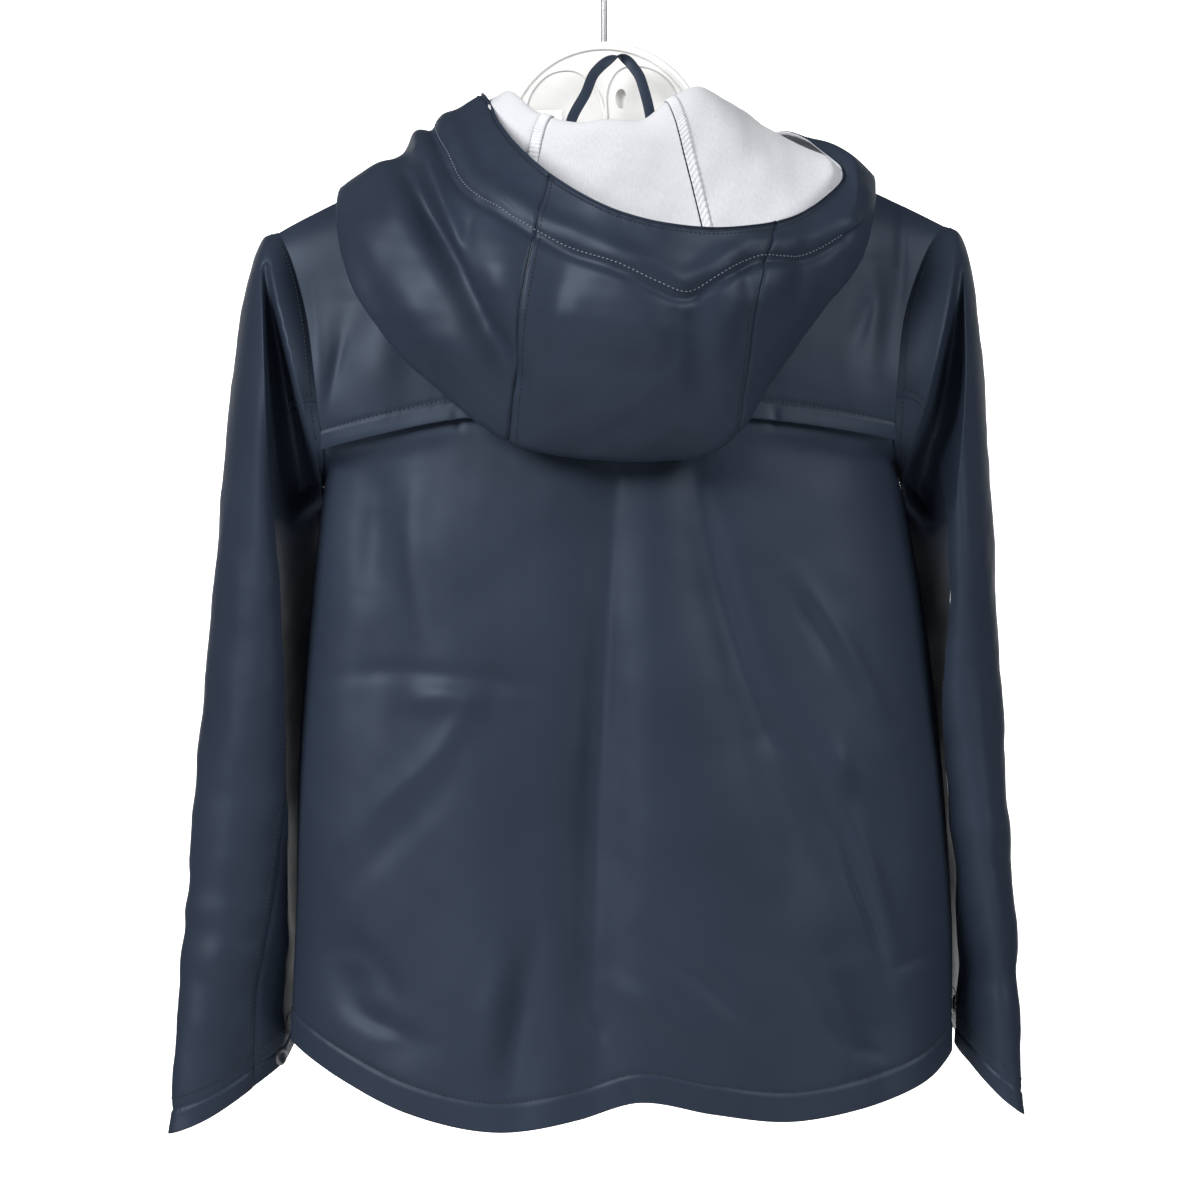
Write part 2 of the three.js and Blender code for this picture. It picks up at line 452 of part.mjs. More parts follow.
// A closed solid from a face: at(u, v) gives its points at the stations us and vs. The face is moved out by
// lift(u, v), and the wall goes in from there. facing is 1 where du x dv points outward, or else -1.
function clothSolid(at, us, vs, facing, lift = () => 0) {
  const columns = us.length - 1;
  const rows = vs.length - 1;
  const stepU = (us[columns] - us[0]) * 1e-3;
  const stepV = (vs[rows] - vs[0]) * 1e-3;
  const outer = [];
  const inner = [];
  for (const v of vs) {
    for (const u of us) {
      const du = at(Math.min(u + stepU, us[columns]), v).sub(at(Math.max(u - stepU, us[0]), v));
      const dv = at(u, Math.min(v + stepV, vs[rows])).sub(at(u, Math.max(v - stepV, vs[0])));
      const normal = du.cross(dv).multiplyScalar(facing).normalize();
      const point = at(u, v);
      outer.push(point.clone().addScaledVector(normal, lift(u, v)));
      inner.push(point.clone().addScaledVector(normal, lift(u, v) - WALL));
    }
  }
  const count = outer.length;
  const index = [];
  const quad = (a, b, c, d) => (facing > 0 ? index.push(a, b, c, a, c, d) : index.push(a, c, b, a, d, c));
  const place = (i, j) => j * (columns + 1) + i;
  for (let j = 0; j < rows; j += 1) {
    for (let i = 0; i < columns; i += 1) {
      const [a, b, c, d] = [place(i, j), place(i + 1, j), place(i + 1, j + 1), place(i, j + 1)];
      quad(a, b, c, d);
      quad(d + count, c + count, b + count, a + count);
    }
  }
  for (let i = 0; i < columns; i += 1) {
    quad(place(i + 1, 0), place(i, 0), place(i, 0) + count, place(i + 1, 0) + count);
    quad(place(i, rows), place(i + 1, rows), place(i + 1, rows) + count, place(i, rows) + count);
  }
  for (let j = 0; j < rows; j += 1) {
    quad(place(0, j), place(0, j + 1), place(0, j + 1) + count, place(0, j) + count);
    quad(place(columns, j + 1), place(columns, j), place(columns, j) + count, place(columns, j + 1) + count);
  }
  const geometry = new THREE.BufferGeometry();
  geometry.setAttribute("position", new THREE.Float32BufferAttribute([...outer, ...inner].flatMap((p) => [...p]), 3));
  geometry.setIndex(index);
  geometry.computeVertexNormals();
  return geometry;
}

const coat = new THREE.Group();

function add(name, geometry, material) {
  const mesh = new THREE.Mesh(geometry, material);
  mesh.name = name;
  coat.add(mesh);
  return mesh;
}

// Torso panels. w runs evenly round the section, so that the sides are as fine as the middle.
const roundAcross = (w) => Math.sin((Math.PI / 2) * w);

function addTorso() {
  const edge = 0.9975;
  const overlap = Math.asin(OVERLAP_HALF / FRONT_HALF) / (Math.PI / 2);
  const back = (w, level) => torso(-1, roundAcross(w), level);
  const front = (w, level) => torso(1, roundAcross(w), level);
  // The yoke and the back share their stations where they lie on each other, and so do the fronts.
  const tuck = [YOKE_LEVEL - YOKE_TUCK, YOKE_LEVEL - YOKE_TUCK / 2, YOKE_LEVEL];
  const allRound = stations(-edge, edge, 28);
  const down = [...stations(0, YOKE_LEVEL, 9), ...stations(YOKE_LEVEL, HEM_LEVEL, 12).slice(1)];
  const tucked = (w, level) => -0.5 * (1 - THREE.MathUtils.smoothstep(level, YOKE_LEVEL - 0.1, YOKE_LEVEL + 0.5));
  const backDown = [...tuck, ...stations(YOKE_LEVEL, HEM_LEVEL, 14).slice(1)];
  add("back_body", clothSolid(back, allRound, backDown, -1, tucked), navy);
  add("back_yoke", clothSolid(back, allRound, [...stations(0, tuck[0], 7), tuck[1], tuck[2]], -1, () => OVER), navy);
  const middle = [-overlap, 0, overlap];
  const lapped = (w) => OVER * THREE.MathUtils.smoothstep(w, -3 * overlap, -1.5 * overlap);
  add("front_left", clothSolid(front, [...stations(-edge, -overlap, 11), ...middle.slice(1)], down, 1, lapped), navy);
  add("front_right", clothSolid(front, [...middle, ...stations(overlap, edge, 11).slice(1)], down, 1), navy);
}

function addSleeves() {
  const way = [...stations(0, 5, 15), ...stations(5, SLEEVE_END, 9).slice(1)];
  for (const { side, word, rows } of SLEEVES) {
    const backSeam = (down) => smooth(rows.map((row) => row.seam), down);
    const gap = SLEEVE_SEAM_GAP;
    const upper = (u, down) => sleeve(side, lerp(FRONT_SEAM - 6 + gap, backSeam(down) - gap, u), down);
    const under = (u, down) => sleeve(side, lerp(backSeam(down) + gap, FRONT_SEAM - gap, u), down);
    add("sleeve_upper_" + word, clothSolid(upper, stations(0, 1, 16), way, side), navy);
    add("sleeve_under_" + word, clothSolid(under, stations(0, 1, 11), way, side), navy);
  }
}

function addHood() {
  const first = HOOD[0].angle;
  const last = HOOD[HOOD.length - 1].angle;
  const left = (way) => smooth(HOOD_SEAM_LEFT, way);
  const right = (way) => smooth(HOOD_SEAM_RIGHT, way);
  const gap = HOOD_SEAM_GAP;
  const way = stations(0, HOOD_END, 17);
  const leftFace = (u, down) => hoodPoint(lerp(first, left(down) - gap, u), down);
  const centreFace = (u, down) => hoodPoint(lerp(left(down) + gap, right(down) - gap, u), down);
  const rightFace = (u, down) => hoodPoint(lerp(right(down) + gap, last, u), down);
  const addPanel = (name, face, steps) => {
    const rise = (u, down) => hoodRise(face(u, down), down);
    add(name, clothSolid(face, stations(0, 1, steps), way, 1, rise), navy);
  };
  addPanel("hood_left", leftFace, 13);
  addPanel("hood_centre", centreFace, 9);
  addPanel("hood_right", rightFace, 13);
}

// Hang loop and label, sewn into the neck seam: both follow the inner face of the neck at the back.
function neckInside(x) {
  const point = torso(-1, acrossAt(x, 0), 0);
  return new THREE.Vector3(x, point.y + WALL + SEAM, point.z);
}

function addNeckPieces() {
  const path = new THREE.CatmullRomCurve3(
    LOOP_PATH.map(({ x, z, lean }) => new THREE.Vector3(x, neckInside(x).y + lean, z)));
  const strap = (u, v) => {
    const middle = path.getPoint(v);
    const along = path.getTangent(v);
    return middle.add(new THREE.Vector3(-along.z, 0, along.x).normalize().multiplyScalar(u * LOOP_WIDTH));
  };
  add("hang_loop", clothSolid(strap, [-0.5, 0.5], stations(0, 1, 24), -1), navy);
  const label = (x, z) => new THREE.Vector3(x, neckInside(x).y, z);
  add("neck_label", clothSolid(label, stations(LABEL_LEFT, LABEL_RIGHT, 4), [LABEL_BOTTOM, LABEL_TOP], 1), white);
}

// A press stud: a cap with a ring and a sunk middle, its base on a face at a point with a normal.
function addStud(name, point, normal) {
  const r = STUD_RADIUS;
  const h = STUD_HEIGHT;
  const profile = [[0, 0], [r, 0], [r, 0.3 * h], [0.9 * r, 0.8 * h], [0.72 * r, h], [0.5 * r, 0.75 * h],
    [0.4 * r, 0.4 * h], [0, 0.4 * h]].map(([x, y]) => new THREE.Vector2(x, y));
  const stud = add(name, new THREE.LatheGeometry(profile, 12), gunmetal);
  stud.position.copy(point).addScaledVector(normal, STUD_GAP);
  stud.quaternion.setFromUnitVectors(new THREE.Vector3(0, 1, 0), normal);
}

function addStuds() {
  for (let i = 0; i < FRONT_STUDS; i += 1) {
    const z = TOP_STUD - i * STUD_PITCH;
    const here = torsoFace(1, 0, z);
    const above = torsoFace(1, 0, z + 4);
    const along = above.clone().sub(here).normalize();
    const normal = new THREE.Vector3(0, along.z, -along.y).normalize();
    addStud("front_stud_" + (i + 1), here.addScaledVector(normal, OVER), normal);
  }
  for (const [side, word] of [[-1, "left"], [1, "right"]]) {
    const { turn, down } = CUFF_STUDS[word];
    const here = sleeve(side, turn, down);
    const around = sleeve(side, turn + 0.05, down).sub(here);
    const along = sleeve(side, turn, down + 0.05).sub(here);
    const normal = around.cross(along).multiplyScalar(side).normalize();
    addStud("cuff_stud_" + word, here, normal);
  }
}

// A closed geometry as a solid that can be cut, and back.
function solidOf(geometry) {
  const bare = geometry.clone();
  bare.deleteAttribute("normal");
  bare.deleteAttribute("uv");
  const merged = mergeVertices(bare, 1e-4);
  return new manifold.Manifold(new manifold.Mesh({
    numProp: 3,
    vertProperties: merged.attributes.position.array,
    triVerts: new Uint32Array(merged.index.array),
  }));
}

function geometryOf(solid) {
  const mesh = solid.getMesh();
  const geometry = new THREE.BufferGeometry();
  geometry.setAttribute("position", new THREE.Float32BufferAttribute(mesh.vertProperties, 3));
  geometry.setIndex([...mesh.triVerts]);
  geometry.computeVertexNormals();
  return geometry;
}

// The hanger: its arms follow the coat's shoulder line from below, with a dome in the middle.
function addHanger() {
  const under = (x) => torso(-1, acrossAt(x, 0), 0).z - ARM_UNDER;
  const arm = stations(ARM_REACH, NECK_HALF, 7);
  const outline = new THREE.Shape();
  const left = arm.map((x) => [ARM_MIDDLE - x, under(ARM_MIDDLE - x)]);
  const right = arm.map((x) => [ARM_MIDDLE + x, under(ARM_MIDDLE + x)]).reverse();
  const tip = (point, way) => ARM_TIP.map(([out, up]) => [point[0] + way * out, point[1] + up]);
  const dome = stations(170, 10, 22).map(radians)
    .map((turn) => [DOME_RADIUS * Math.cos(turn), DOME_TOP + DOME_RADIUS * (Math.sin(turn) - 1)]);
  const floor = under(NECK_HALF) - ARM_DEPTH;
  const bottom = [...ARM_BOTTOM.map(([out, up]) => [ARM_MIDDLE + out, floor + up]),
    ...ARM_BOTTOM.map(([out, up]) => [ARM_MIDDLE - out, floor + up]).reverse()];
  const points = [...tip(left[0], -1).reverse(), ...left, ...dome, ...right,
    ...tip(right[right.length - 1], 1), ...bottom];
  outline.setFromPoints(points.map(([x, z]) => new THREE.Vector2(x, z)));
  const body = new THREE.ExtrudeGeometry(outline, {
    depth: ARM_THICK - 2 * ARM_BEVEL, bevelEnabled: true, bevelThickness: ARM_BEVEL, bevelSize: ARM_BEVEL,
    bevelOffset: -ARM_BEVEL, bevelSegments: 2, steps: 1,
  });
  body.translate(0, 0, ARM_BEVEL - ARM_THICK / 2);
  body.rotateX(Math.PI / 2);
  const bore = new THREE.CylinderGeometry(WIRE_RADIUS + SEAM, WIRE_RADIUS + SEAM, 2 * STEM_INTO_DOME, 16);
  bore.rotateX(Math.PI / 2);
  bore.translate(0, 0, DOME_TOP);
  const recess = new THREE.CylinderGeometry(RECESS.radius, RECESS.radius, ARM_THICK, 20);
  recess.scale(1, 1, RECESS.stretch);
  recess.translate(RECESS.x, -ARM_THICK * 0.65, RECESS.z);
  add("hanger_body", geometryOf(solidOf(body).subtract(solidOf(bore)).subtract(solidOf(recess))), white);
}

// The hook: a wire stem out of the dome, bent round a circle whose inside top is the origin.
function addHook() {
  const bend = HOOK_RADIUS + WIRE_RADIUS;
  const round = stations(-48, 215, 22).map(radians)
    .map((turn) => new THREE.Vector3(bend * Math.cos(turn), 0, bend * Math.sin(turn) - HOOK_RADIUS));
  const stem = [DOME_TOP - STEM_INTO_DOME + SEAM, -80, -64, -54].map((z) => new THREE.Vector3(0, 0, z));
  const path = new THREE.CatmullRomCurve3([...stem, ...round]);
  const section = new THREE.Shape(stations(0, 315, 7).map(radians)
    .map((turn) => new THREE.Vector2(WIRE_RADIUS * Math.cos(turn), WIRE_RADIUS * Math.sin(turn))));
  add("hanger_hook", new THREE.ExtrudeGeometry(section, { steps: 44, bevelEnabled: false, extrudePath: path }), steel);
}

addTorso();
addSleeves();
addHood();
addNeckPieces();
addStuds();
addHanger();
addHook();

export default coat;
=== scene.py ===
import math

import bmesh
import bpy
import numpy as np
from bpy.props import FloatProperty, FloatVectorProperty, IntProperty, PointerProperty
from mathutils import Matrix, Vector


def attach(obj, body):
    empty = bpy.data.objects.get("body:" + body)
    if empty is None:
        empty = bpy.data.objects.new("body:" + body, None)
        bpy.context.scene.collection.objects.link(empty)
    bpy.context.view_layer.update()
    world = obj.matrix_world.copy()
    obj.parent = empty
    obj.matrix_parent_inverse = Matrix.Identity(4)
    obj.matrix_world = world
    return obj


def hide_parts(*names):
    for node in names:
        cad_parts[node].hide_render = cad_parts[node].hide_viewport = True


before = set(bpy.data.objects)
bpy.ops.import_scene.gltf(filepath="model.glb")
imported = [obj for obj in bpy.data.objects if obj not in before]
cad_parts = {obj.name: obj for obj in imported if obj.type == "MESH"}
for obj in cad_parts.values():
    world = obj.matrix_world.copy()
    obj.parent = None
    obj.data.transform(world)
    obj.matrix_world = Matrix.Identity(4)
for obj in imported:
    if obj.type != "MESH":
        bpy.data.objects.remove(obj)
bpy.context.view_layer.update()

bl_info = {
    "name": "Child's raincoat on a hanger",
    "version": (1, 0, 0),
    "blender": (4, 5, 0),
    "location": "3D View > Sidebar > Raincoat",
    "description": "Cuts, folds and sews a child's hooded raincoat and hangs it on its hanger",
    "category": "Add Mesh",
}

MM = 0.001

# Sizes in millimetres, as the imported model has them
WALL = 1.2
SEAM = 0.35
OVER = WALL + SEAM

# Torso levels from the shoulder line to the hem
TORSO_COLUMNS = ("left_x", "left_z", "right_x", "right_z", "mid_z", "back_z", "front_z",
                 "back", "front", "wrap", "swell_back", "swell_front")
TORSO_ROWS = (
    (-168.5, -187.5, 176, -184, -148.5, -155, -207, 0.6, 0.6, 40, 38, 47),
    (-162, -202, 166.5, -198, -164, -169, -214, 23, 24, 62, 23, 31),
    (-153, -232, 154.5, -230, -199, -204, -229, 45, 46, 51, 8, 15),
    (-148, -264, 150, -262, -243, -245, -254, 60, 60, 48, 0, 4),
    (-143.6, -299, 148, -294, -285.5, -284, -287, 69, 68, 60, 0, 0),
    (-145.6, -319, 153.4, -316, -311, -309, -311, 73, 71, 90, 0, 0),
    (-151.3, -371, 164.3, -371, -371, -371, -371, 76, 74, 90, 0, 0),
    (-158, -450, 174.2, -450, -450, -450, -450, 78, 76, 90, 0, 0),
    (-160, -540, 180.5, -540, -542, -542, -540, 79, 78, 90, 0, 0),
    (-162.5, -604, 180.4, -610, -640, -632, -628, 80, 79, 90, 0, 0),
)
TORSO = dict(zip(TORSO_COLUMNS, np.array(TORSO_ROWS, float).T))
HEM_LEVEL = len(TORSO_ROWS) - 1
UNDERARM_LEVEL = 5
YOKE_LEVEL = 4
YOKE_TUCK = 0.45
ROUNDNESS = 0.86

# Hem heights across the coat, from the left side seam at -1 to the right at 1
BACK_HEM = ((-1, -604), (-0.92, -613), (-0.84, -621), (-0.64, -637), (-0.36, -646), (-0.13, -639.5),
            (0.05, -630.5), (0.27, -636.5), (0.49, -641), (0.7, -636), (0.84, -629), (0.93, -621), (1, -610))
FRONT_HEM = ((-1, -604), (-0.7, -622), (-0.35, -629), (0, -630), (0.35, -629), (0.7, -623), (1, -610))

# Folds: x and z of three points down the cloth, width, and depth into the coat, less than 0 for a ridge
BACK_FOLDS = (
    ((9, 3, -6), (-318, -420, -640), 15, 7),
    ((46, 72, 140), (-312, -420, -590), 17, 6),
    ((20, 40, 62), (-330, -470, -640), 30, -4),
    ((-116, -112, -124), (-322, -390, -480), 15, 5),
    ((-92, -70, -60), (-360, -480, -640), 30, -4),
    ((-36, -40, -44), (-540, -600, -650), 13, 4),
    ((-134, -118, -100), (-560, -590, -600), 12, 5),
    ((120, 138, 150), (-560, -596, -640), 13, 5),
    ((-128, -136, -139), (-222, -252, -284), 9, 4),
    ((-104, -112, -116), (-206, -240, -280), 12, -3),
    ((137, 139, 138), (-200, -228, -262), 9, 4),
    ((150, 148, 146), (-210, -236, -262), 7, -2.5),
)
FRONT_FOLDS = (
    ((-104, -96, -80), (-300, -430, -630), 17, 6),
    ((-60, -66, -50), (-330, -470, -620), 26, -4),
    ((96, 112, 120), (-290, -420, -630), 17, 6),
    ((64, 62, 70), (-340, -480, -620), 26, -4),
)

# Sleeve sections from the armhole to the cuff: the outer edge, the inner edge, how far the cloth stands out
# behind and in front, where the back ridge lies from the outer edge at 0 to the inner at 1, how far the side
# towards the body falls in, how far the ridge hangs below the line of the section, and the back seam's turn
SLEEVE_COLUMNS = ("top_x", "top_y", "top_z", "in_x", "in_y", "in_z", "back", "ridge", "front",
                  "dent", "sag", "seam")
LEFT_SLEEVE_ROWS = (
    (-169.5, 0, -187.5, -146.5, 0, -319, -46, 0.64, 46, 0, 0, 2),
    (-178, 0, -190, -145.2, 6, -325, -50, 0.66, 50, 1, 0, 2),
    (-184.5, 0, -207, -144.9, 15, -333, -53, 0.57, 52, 2, 0, 2),
    (-190.5, 0, -240, -148, 26, -346, -54, 0.51, 52, 4, 0, 2.06),
    (-195.5, 0, -282, -147, 33, -364, -54, 0.536, 50, 8, 0, 2.12),
    (-200.5, -2, -344, -148, 36, -396, -54, 0.66, 48, 12, 0, 2.14),
    (-208.5, -6, -433, -151, 38, -452, -52, 0.78, 42, 12, 0, 2.1),
    (-215, -12, -520, -152, 42, -516, -46, 0.82, 34, 9, 1, 1.8),
    (-220, -18, -590, -152.5, 46, -564, -40, 0.81, 27, 6, 4, 1.56),
    (-223.5, -24, -652, -153, 50, -598, -34, 0.8, 22, 4, 8, 1.55),
)
RIGHT_SLEEVE_ROWS = (
    (177, 0, -184, 154.3, 0, -316, -46, 0.64, 46, 0, 0, 2),
    (184.5, 0, -187, 154.9, 7, -322, -50, 0.7, 50, 1, 0, 2),
    (190, 0, -202, 155.2, 15, -331, -54, 0.65, 52, 2, 0, 2.05),
    (195, 0, -232, 155.5, 26, -343, -56, 0.6, 52, 4, 0, 2.1),
    (198.5, 0, -276, 156, 34, -360, -56, 0.55, 50, 8, 0, 2.16),
    (202, -2, -338, 160, 36, -394, -56, 0.605, 48, 12, 0, 2.15),
    (206.5, -6, -429, 166, 38, -456, -52, 0.788, 42, 12, 0, 2.05),
    (211, -12, -516, 177, 42, -519, -50, 0.87, 34, 8, 1, 2.05),
    (214, -18, -582, 179, 46, -562, -42, 0.888, 27, 6, 3, 2.05),
    (216, -24, -642, 179.5, 50, -597, -36, 0.9, 22, 5, 6, 2.05),
)
SLEEVES = {
    -1: dict(zip(SLEEVE_COLUMNS, np.array(LEFT_SLEEVE_ROWS, float).T)),
    1: dict(zip(SLEEVE_COLUMNS, np.array(RIGHT_SLEEVE_ROWS, float).T)),
}

# The deep valley behind each arm, from the shoulder's point to below the armhole
SLEEVE_VALLEYS = {
    -1: ((-174, -165.5, -158.5), (-208, -262, -318), (3, 8, 12.5), (4, 29, 24)),
    1: ((183, 176, 167), (-210, -265, -318), (3, 9, 13.5), (4, 29, 24)),
}
SLEEVE_END = len(LEFT_SLEEVE_ROWS) - 1
FRONT_SEAM = 4.4
SLEEVE_SEAM_GAP = 0.001
ARMHOLE_GAP = SEAM

# Hood sections round the neck, by their angle from the middle of the back
HOOD_COLUMNS = ("angle", "roll_x", "roll_y", "roll_z", "fold_x", "fold_y", "fold_z", "bulge",
                "puff", "rim_x", "rim_y", "rim_z")
HOOD_ROWS = (
    (-166, -18, 51, -199, -24, 61, -205, 63, 0, -15, 60, -196),
    (-140, -50, 38, -165, -72, 58, -196, 58, 4, -42, 52, -158),
    (-112, -61, 21, -127, -116, 36, -176, 38, 6, -58, 27, -120),
    (-90, -62, 1, -121, -137, -14, -165, -24, 0, -63, -6, -114.6),
    (-75, -55, -14, -119, -134.5, -48, -199, -58, 0, -59, -25, -120),
    (-60, -48.4, -25, -118.2, -119, -68, -233, -82, 0, -53, -50, -134),
    (-35, -33, -39, -131, -86, -80, -269, -112, 0, -35, -86, -156.7),
    (-15, -14, -46, -137, -43, -84, -300, -124, 0, -12, -110, -174.4),
    (0, 1, -47, -135.5, 8, -85, -307.5, -130, 0, 7.3, -121, -184.3),
    (18, 19, -45, -136, 56, -84, -303, -130, 0, 35.4, -125, -191.5),
    (38, 34, -39, -125, 84, -80, -268, -116, 0, 67.4, -112, -191.5),
    (58, 50, -28, -116, 109, -70, -231, -90, 0, 98.4, -84, -182.8),
    (75, 63, -14, -121, 132, -50, -201, -64, 1, 122, -43, -162),
    (90, 75, 0, -126, 140, -14, -160, -28, 5, 118, -16, -149),
    (112, 82, 18, -137, 124, 33, -176, 32, 13, 93, 24, -131.7),
    (140, 58, 38, -165, 80, 58, -196, 58, 6, 54, 52, -158),
    (166, 26, 51, -199, 32, 61, -205, 63, 0, 23, 60, -196),
)
HOOD = dict(zip(HOOD_COLUMNS, np.array(HOOD_ROWS, float).T))
ROLL_WIDTH = 12
ROLL_DROP = 9
ROLL_FADE = 30
FLAT_SIDE = 85
HOOD_NECK_GAP = 0.85
HOOD_REST = 3.2
HOOD_SEAMS = {"left": (-30, -33, -30, -24, -17, -22, -28), "right": (30, 37, 34, 30, 24, 38, 50)}
HOOD_SEAM_GAP = 0.03
HOOD_END = 6

# Folds in the outer side of the hood's bag, as in BACK_FOLDS
HOOD_FOLDS = (
    ((-107, -80, -46), (-146, -203, -268), 9, 11),
    ((-97, -76, -56), (-136, -192, -240), 5, -5),
    ((-124, -108, -66), (-188, -214, -276), 14, -4),
    ((-56, -50, -44), (-186, -218, -250), 13, -4),
    ((47, 46, 48), (-212, -240, -284), 9, 4),
    ((12, 18, 22), (-212, -246, -264), 16, -3),
    ((86, 92, 84), (-206, -228, -262), 12, -3),
)

# Creases and small folds: points down or to the right along each, its width on the right or above, its width
# on the other side, and its depth, less than 0 for a ridge
BACK_CREASES = (
    (((6, -304), (3, -364), (0, -422), (-3, -472), (-5, -518), (-7, -580)), 3.5, 10, 3.2),
    (((16, -310), (14, -400), (12, -500)), 14, 7, -1.6),
    (((45, -306), (53, -344), (61, -379), (72, -414), (84, -441)), 4, 9, 3.4),
    (((84, -436), (88, -446), (103, -460), (115, -487), (126, -511), (138, -549), (146, -572)), 4, 9, 3.2),
    (((60, -318), (70, -370), (92, -432)), 10, 6, -1.8),
    (((119, -492), (128, -520), (138, -545), (144, -562)), 1.8, 3, 2.2),
    (((127, -488), (137, -520), (147, -550)), 5, 3.5, -1.9),
    (((-117, -306), (-118, -340), (-121, -372)), 9, 8, 3.2),
    (((-138, -306), (-141, -338), (-144, -378)), 6, 5, -2.2),
    (((-96, -312), (-98, -350), (-92, -392)), 9, 6, -1.8),
    (((-142, -417), (-110, -414), (-70, -417), (-30, -422)), 6, 4, 1.3),
    (((-100, -428), (-82, -426), (-64, -429)), 5, 7, -2),
    (((-66, -426), (-86, -457), (-113, -480), (-131, -501)), 6, 6, -2.2),
    (((-80, -472), (-104, -496), (-128, -522)), 6, 8, 1.8),
    (((-131, -552), (-116, -562), (-106, -582), (-113, -594)), 6, 6, 1.4),
    (((-130, -578), (-116, -583), (-101, -590)), 7, 8, -1.4),
    (((-34, -545), (-41, -580), (-45, -600), (-48, -624)), 5, 6, 3.2),
    (((-50, -556), (-57, -584), (-61, -610)), 5, 7, -2.2),
    (((-7, -588), (-3, -594), (-1, -599)), 2.5, 2.5, 1.4),
    (((5, -570), (26, -582), (47, -598)), 6, 8, -2),
    (((20, -546), (50, -568), (78, -594)), 5, 7, 2.2),
    (((101, -378), (108, -391), (116, -406)), 4, 5, 2.2),
    (((98, -364), (128, -410), (147, -452)), 6, 6, -2),
    (((117, -450), (120, -460), (124, -470)), 5, 5, -1.8),
    (((104, -568), (116, -590), (126, -604), (140, -608)), 3.5, 4.5, 2),
    (((144, -566), (158, -560), (175, -556)), 3, 4, 1.6),
    (((9, -619), (14, -626), (19, -633)), 2, 3, 1.2),
    (((-150, -212), (-147, -248), (-146, -286)), 2.6, 3.2, -1.3),
    (((-133, -244), (-138, -262), (-142, -280)), 3, 3.5, 1.8),
    (((154, -178), (153, -206), (151, -238)), 3, 3.5, -1.7),
    (((136, -222), (133, -232), (128, -246)), 4, 5, -1.6),
    (((-75, -281), (-74, -287), (-73, -292)), 1.8, 1.8, 0.9),
    (((86, -279), (86, -284), (86, -289)), 1.8, 1.8, 0.9),
)
FRONT_CREASES = (
    (((-112, -250), (-104, -300), (-86, -352)), 7, 5, 2.4),
    (((120, -246), (110, -300), (92, -350)), 5, 7, 2.4),
    (((-60, -470), (-84, -520), (-112, -566)), 6, 8, 2),
    (((58, -480), (84, -528), (116, -570)), 8, 6, 2),
    (((-30, -540), (-36, -580), (-38, -622)), 5, 6, 1.8),
    (((66, -300), (60, -350), (58, -420)), 8, 6, -1.8),
    (((-54, -300), (-50, -360), (-54, -440)), 6, 8, -1.8),
)
HOOD_CREASES = (
    (((-62, -176), (-70, -200), (-60, -228)), 4, 3, 1.5),
    (((-20, -210), (-24, -236), (-20, -262)), 6, 8, 1.8),
    (((30, -222), (34, -246), (30, -268)), 5, 6, 1.4),
    (((70, -204), (72, -226), (66, -252)), 4, 5, 1.6),
    (((100, -200), (98, -216), (90, -236)), 4, 4, 1.4),
)

# The stitch line of the hood's casing, as seen from the photographer's place at the hanger's depth
CASING = ((-90, -127), (-86.9, -132.8), (-80.6, -145.8), (-71.8, -161.9), (-52.5, -173.9), (-22.9, -191),
          (6.7, -202.5), (27.5, -212.4), (42.6, -217), (59.8, -208.2), (75.4, -199.9), (84.2, -197.8),
          (107.1, -196.8), (124.3, -186.9))


# Sewing, in millimetres unless it says otherwise
SIDE_EDGE = 0.9975
ACROSS_OVERLAP = math.asin(17 / 160) / (math.pi / 2)
HEM_STITCH = 15.0  # millimetres above the edge
YOKE_STITCH = 3.72  # torso level
RIM_STITCH = 3.2
CUFF_STITCH = 18.0
SEAM_STITCH = 4.2
PUCKER = 6.5  # millimetres between the small puckers along a stitch line
OVERLOCK_LOOPS = 28  # thread loops to each station of the hood's sections
THREAD = 0.36  # half the width of a stitch
SLEEVE_WALL = 0.5  # thinner than the rest, because the valley behind the arm is narrow

# Loop, label and the hanger's raised lines
LOOP_WIDTH = 5.4
LOOP_ROWS = (  # x, z and how far the loop leans forward
    (-17.2, -152.5, 0), (-17.2, -133, 1), (-9.6, -117, 8), (-4.2, -105, 13), (7.3, -96.6, 16),
    (16.4, -104.5, 13), (20.6, -115, 9), (24, -132, 1), (24, -152.5, 0))
LABEL = (-40.0, -21.0, -149.0, -126.0)  # left, right, bottom and top
HANGER_THICK = 10.0
DOME_RADIUS = 54.0
DOME_TOP = -87.0
DOME_LINE = 50.0  # radius of the raised line inside the dome's edge
HANGER_LOBES = {
    "left": ((1.5, -130), (-3, -114), (-14, -103), (-28, -104), (-38, -114), (-42, -128)),
    "right": ((1.5, -130), (1.5, -112), (9, -101), (24, -101), (36, -110), (42, -126)),
}

# Stage, in metres but for the camera's place, which seen() also uses, in millimetres
CAMERA_X, CAMERA_Z, CAMERA_AWAY = -2.1, -377.2, 2500.0
PICTURE_WIDTH = 0.624  # what the picture spans at the hanger's depth
AIM = (0, 0, -0.38)
BACKDROP_WIDTH = 2.6
FLOOR_PROFILE = ((-5.0, -1.3), (1.0, -1.3), (2.2, -1.3))
WALL_PROFILE = ((2.2, -1.3), (2.2, -0.3), (2.2, 0.7))
LIGHTS = (
    ("left softbox", (-2.1, -1.7, 1.1), 1.5, 114),
    ("right softbox", (2.1, -1.7, 1.1), 1.5, 60),
)
WORLD_STRENGTH = 0.08
WALL_GLOW = 1.0


# Curves and surfaces

def hermite(start, end, slope_in, slope_out, t):
    t2 = t * t
    t3 = t2 * t
    return (start * (2 * t3 - 3 * t2 + 1) + slope_in * (t3 - 2 * t2 + t)
            + end * (3 * t2 - 2 * t3) + slope_out * (t3 - t2))


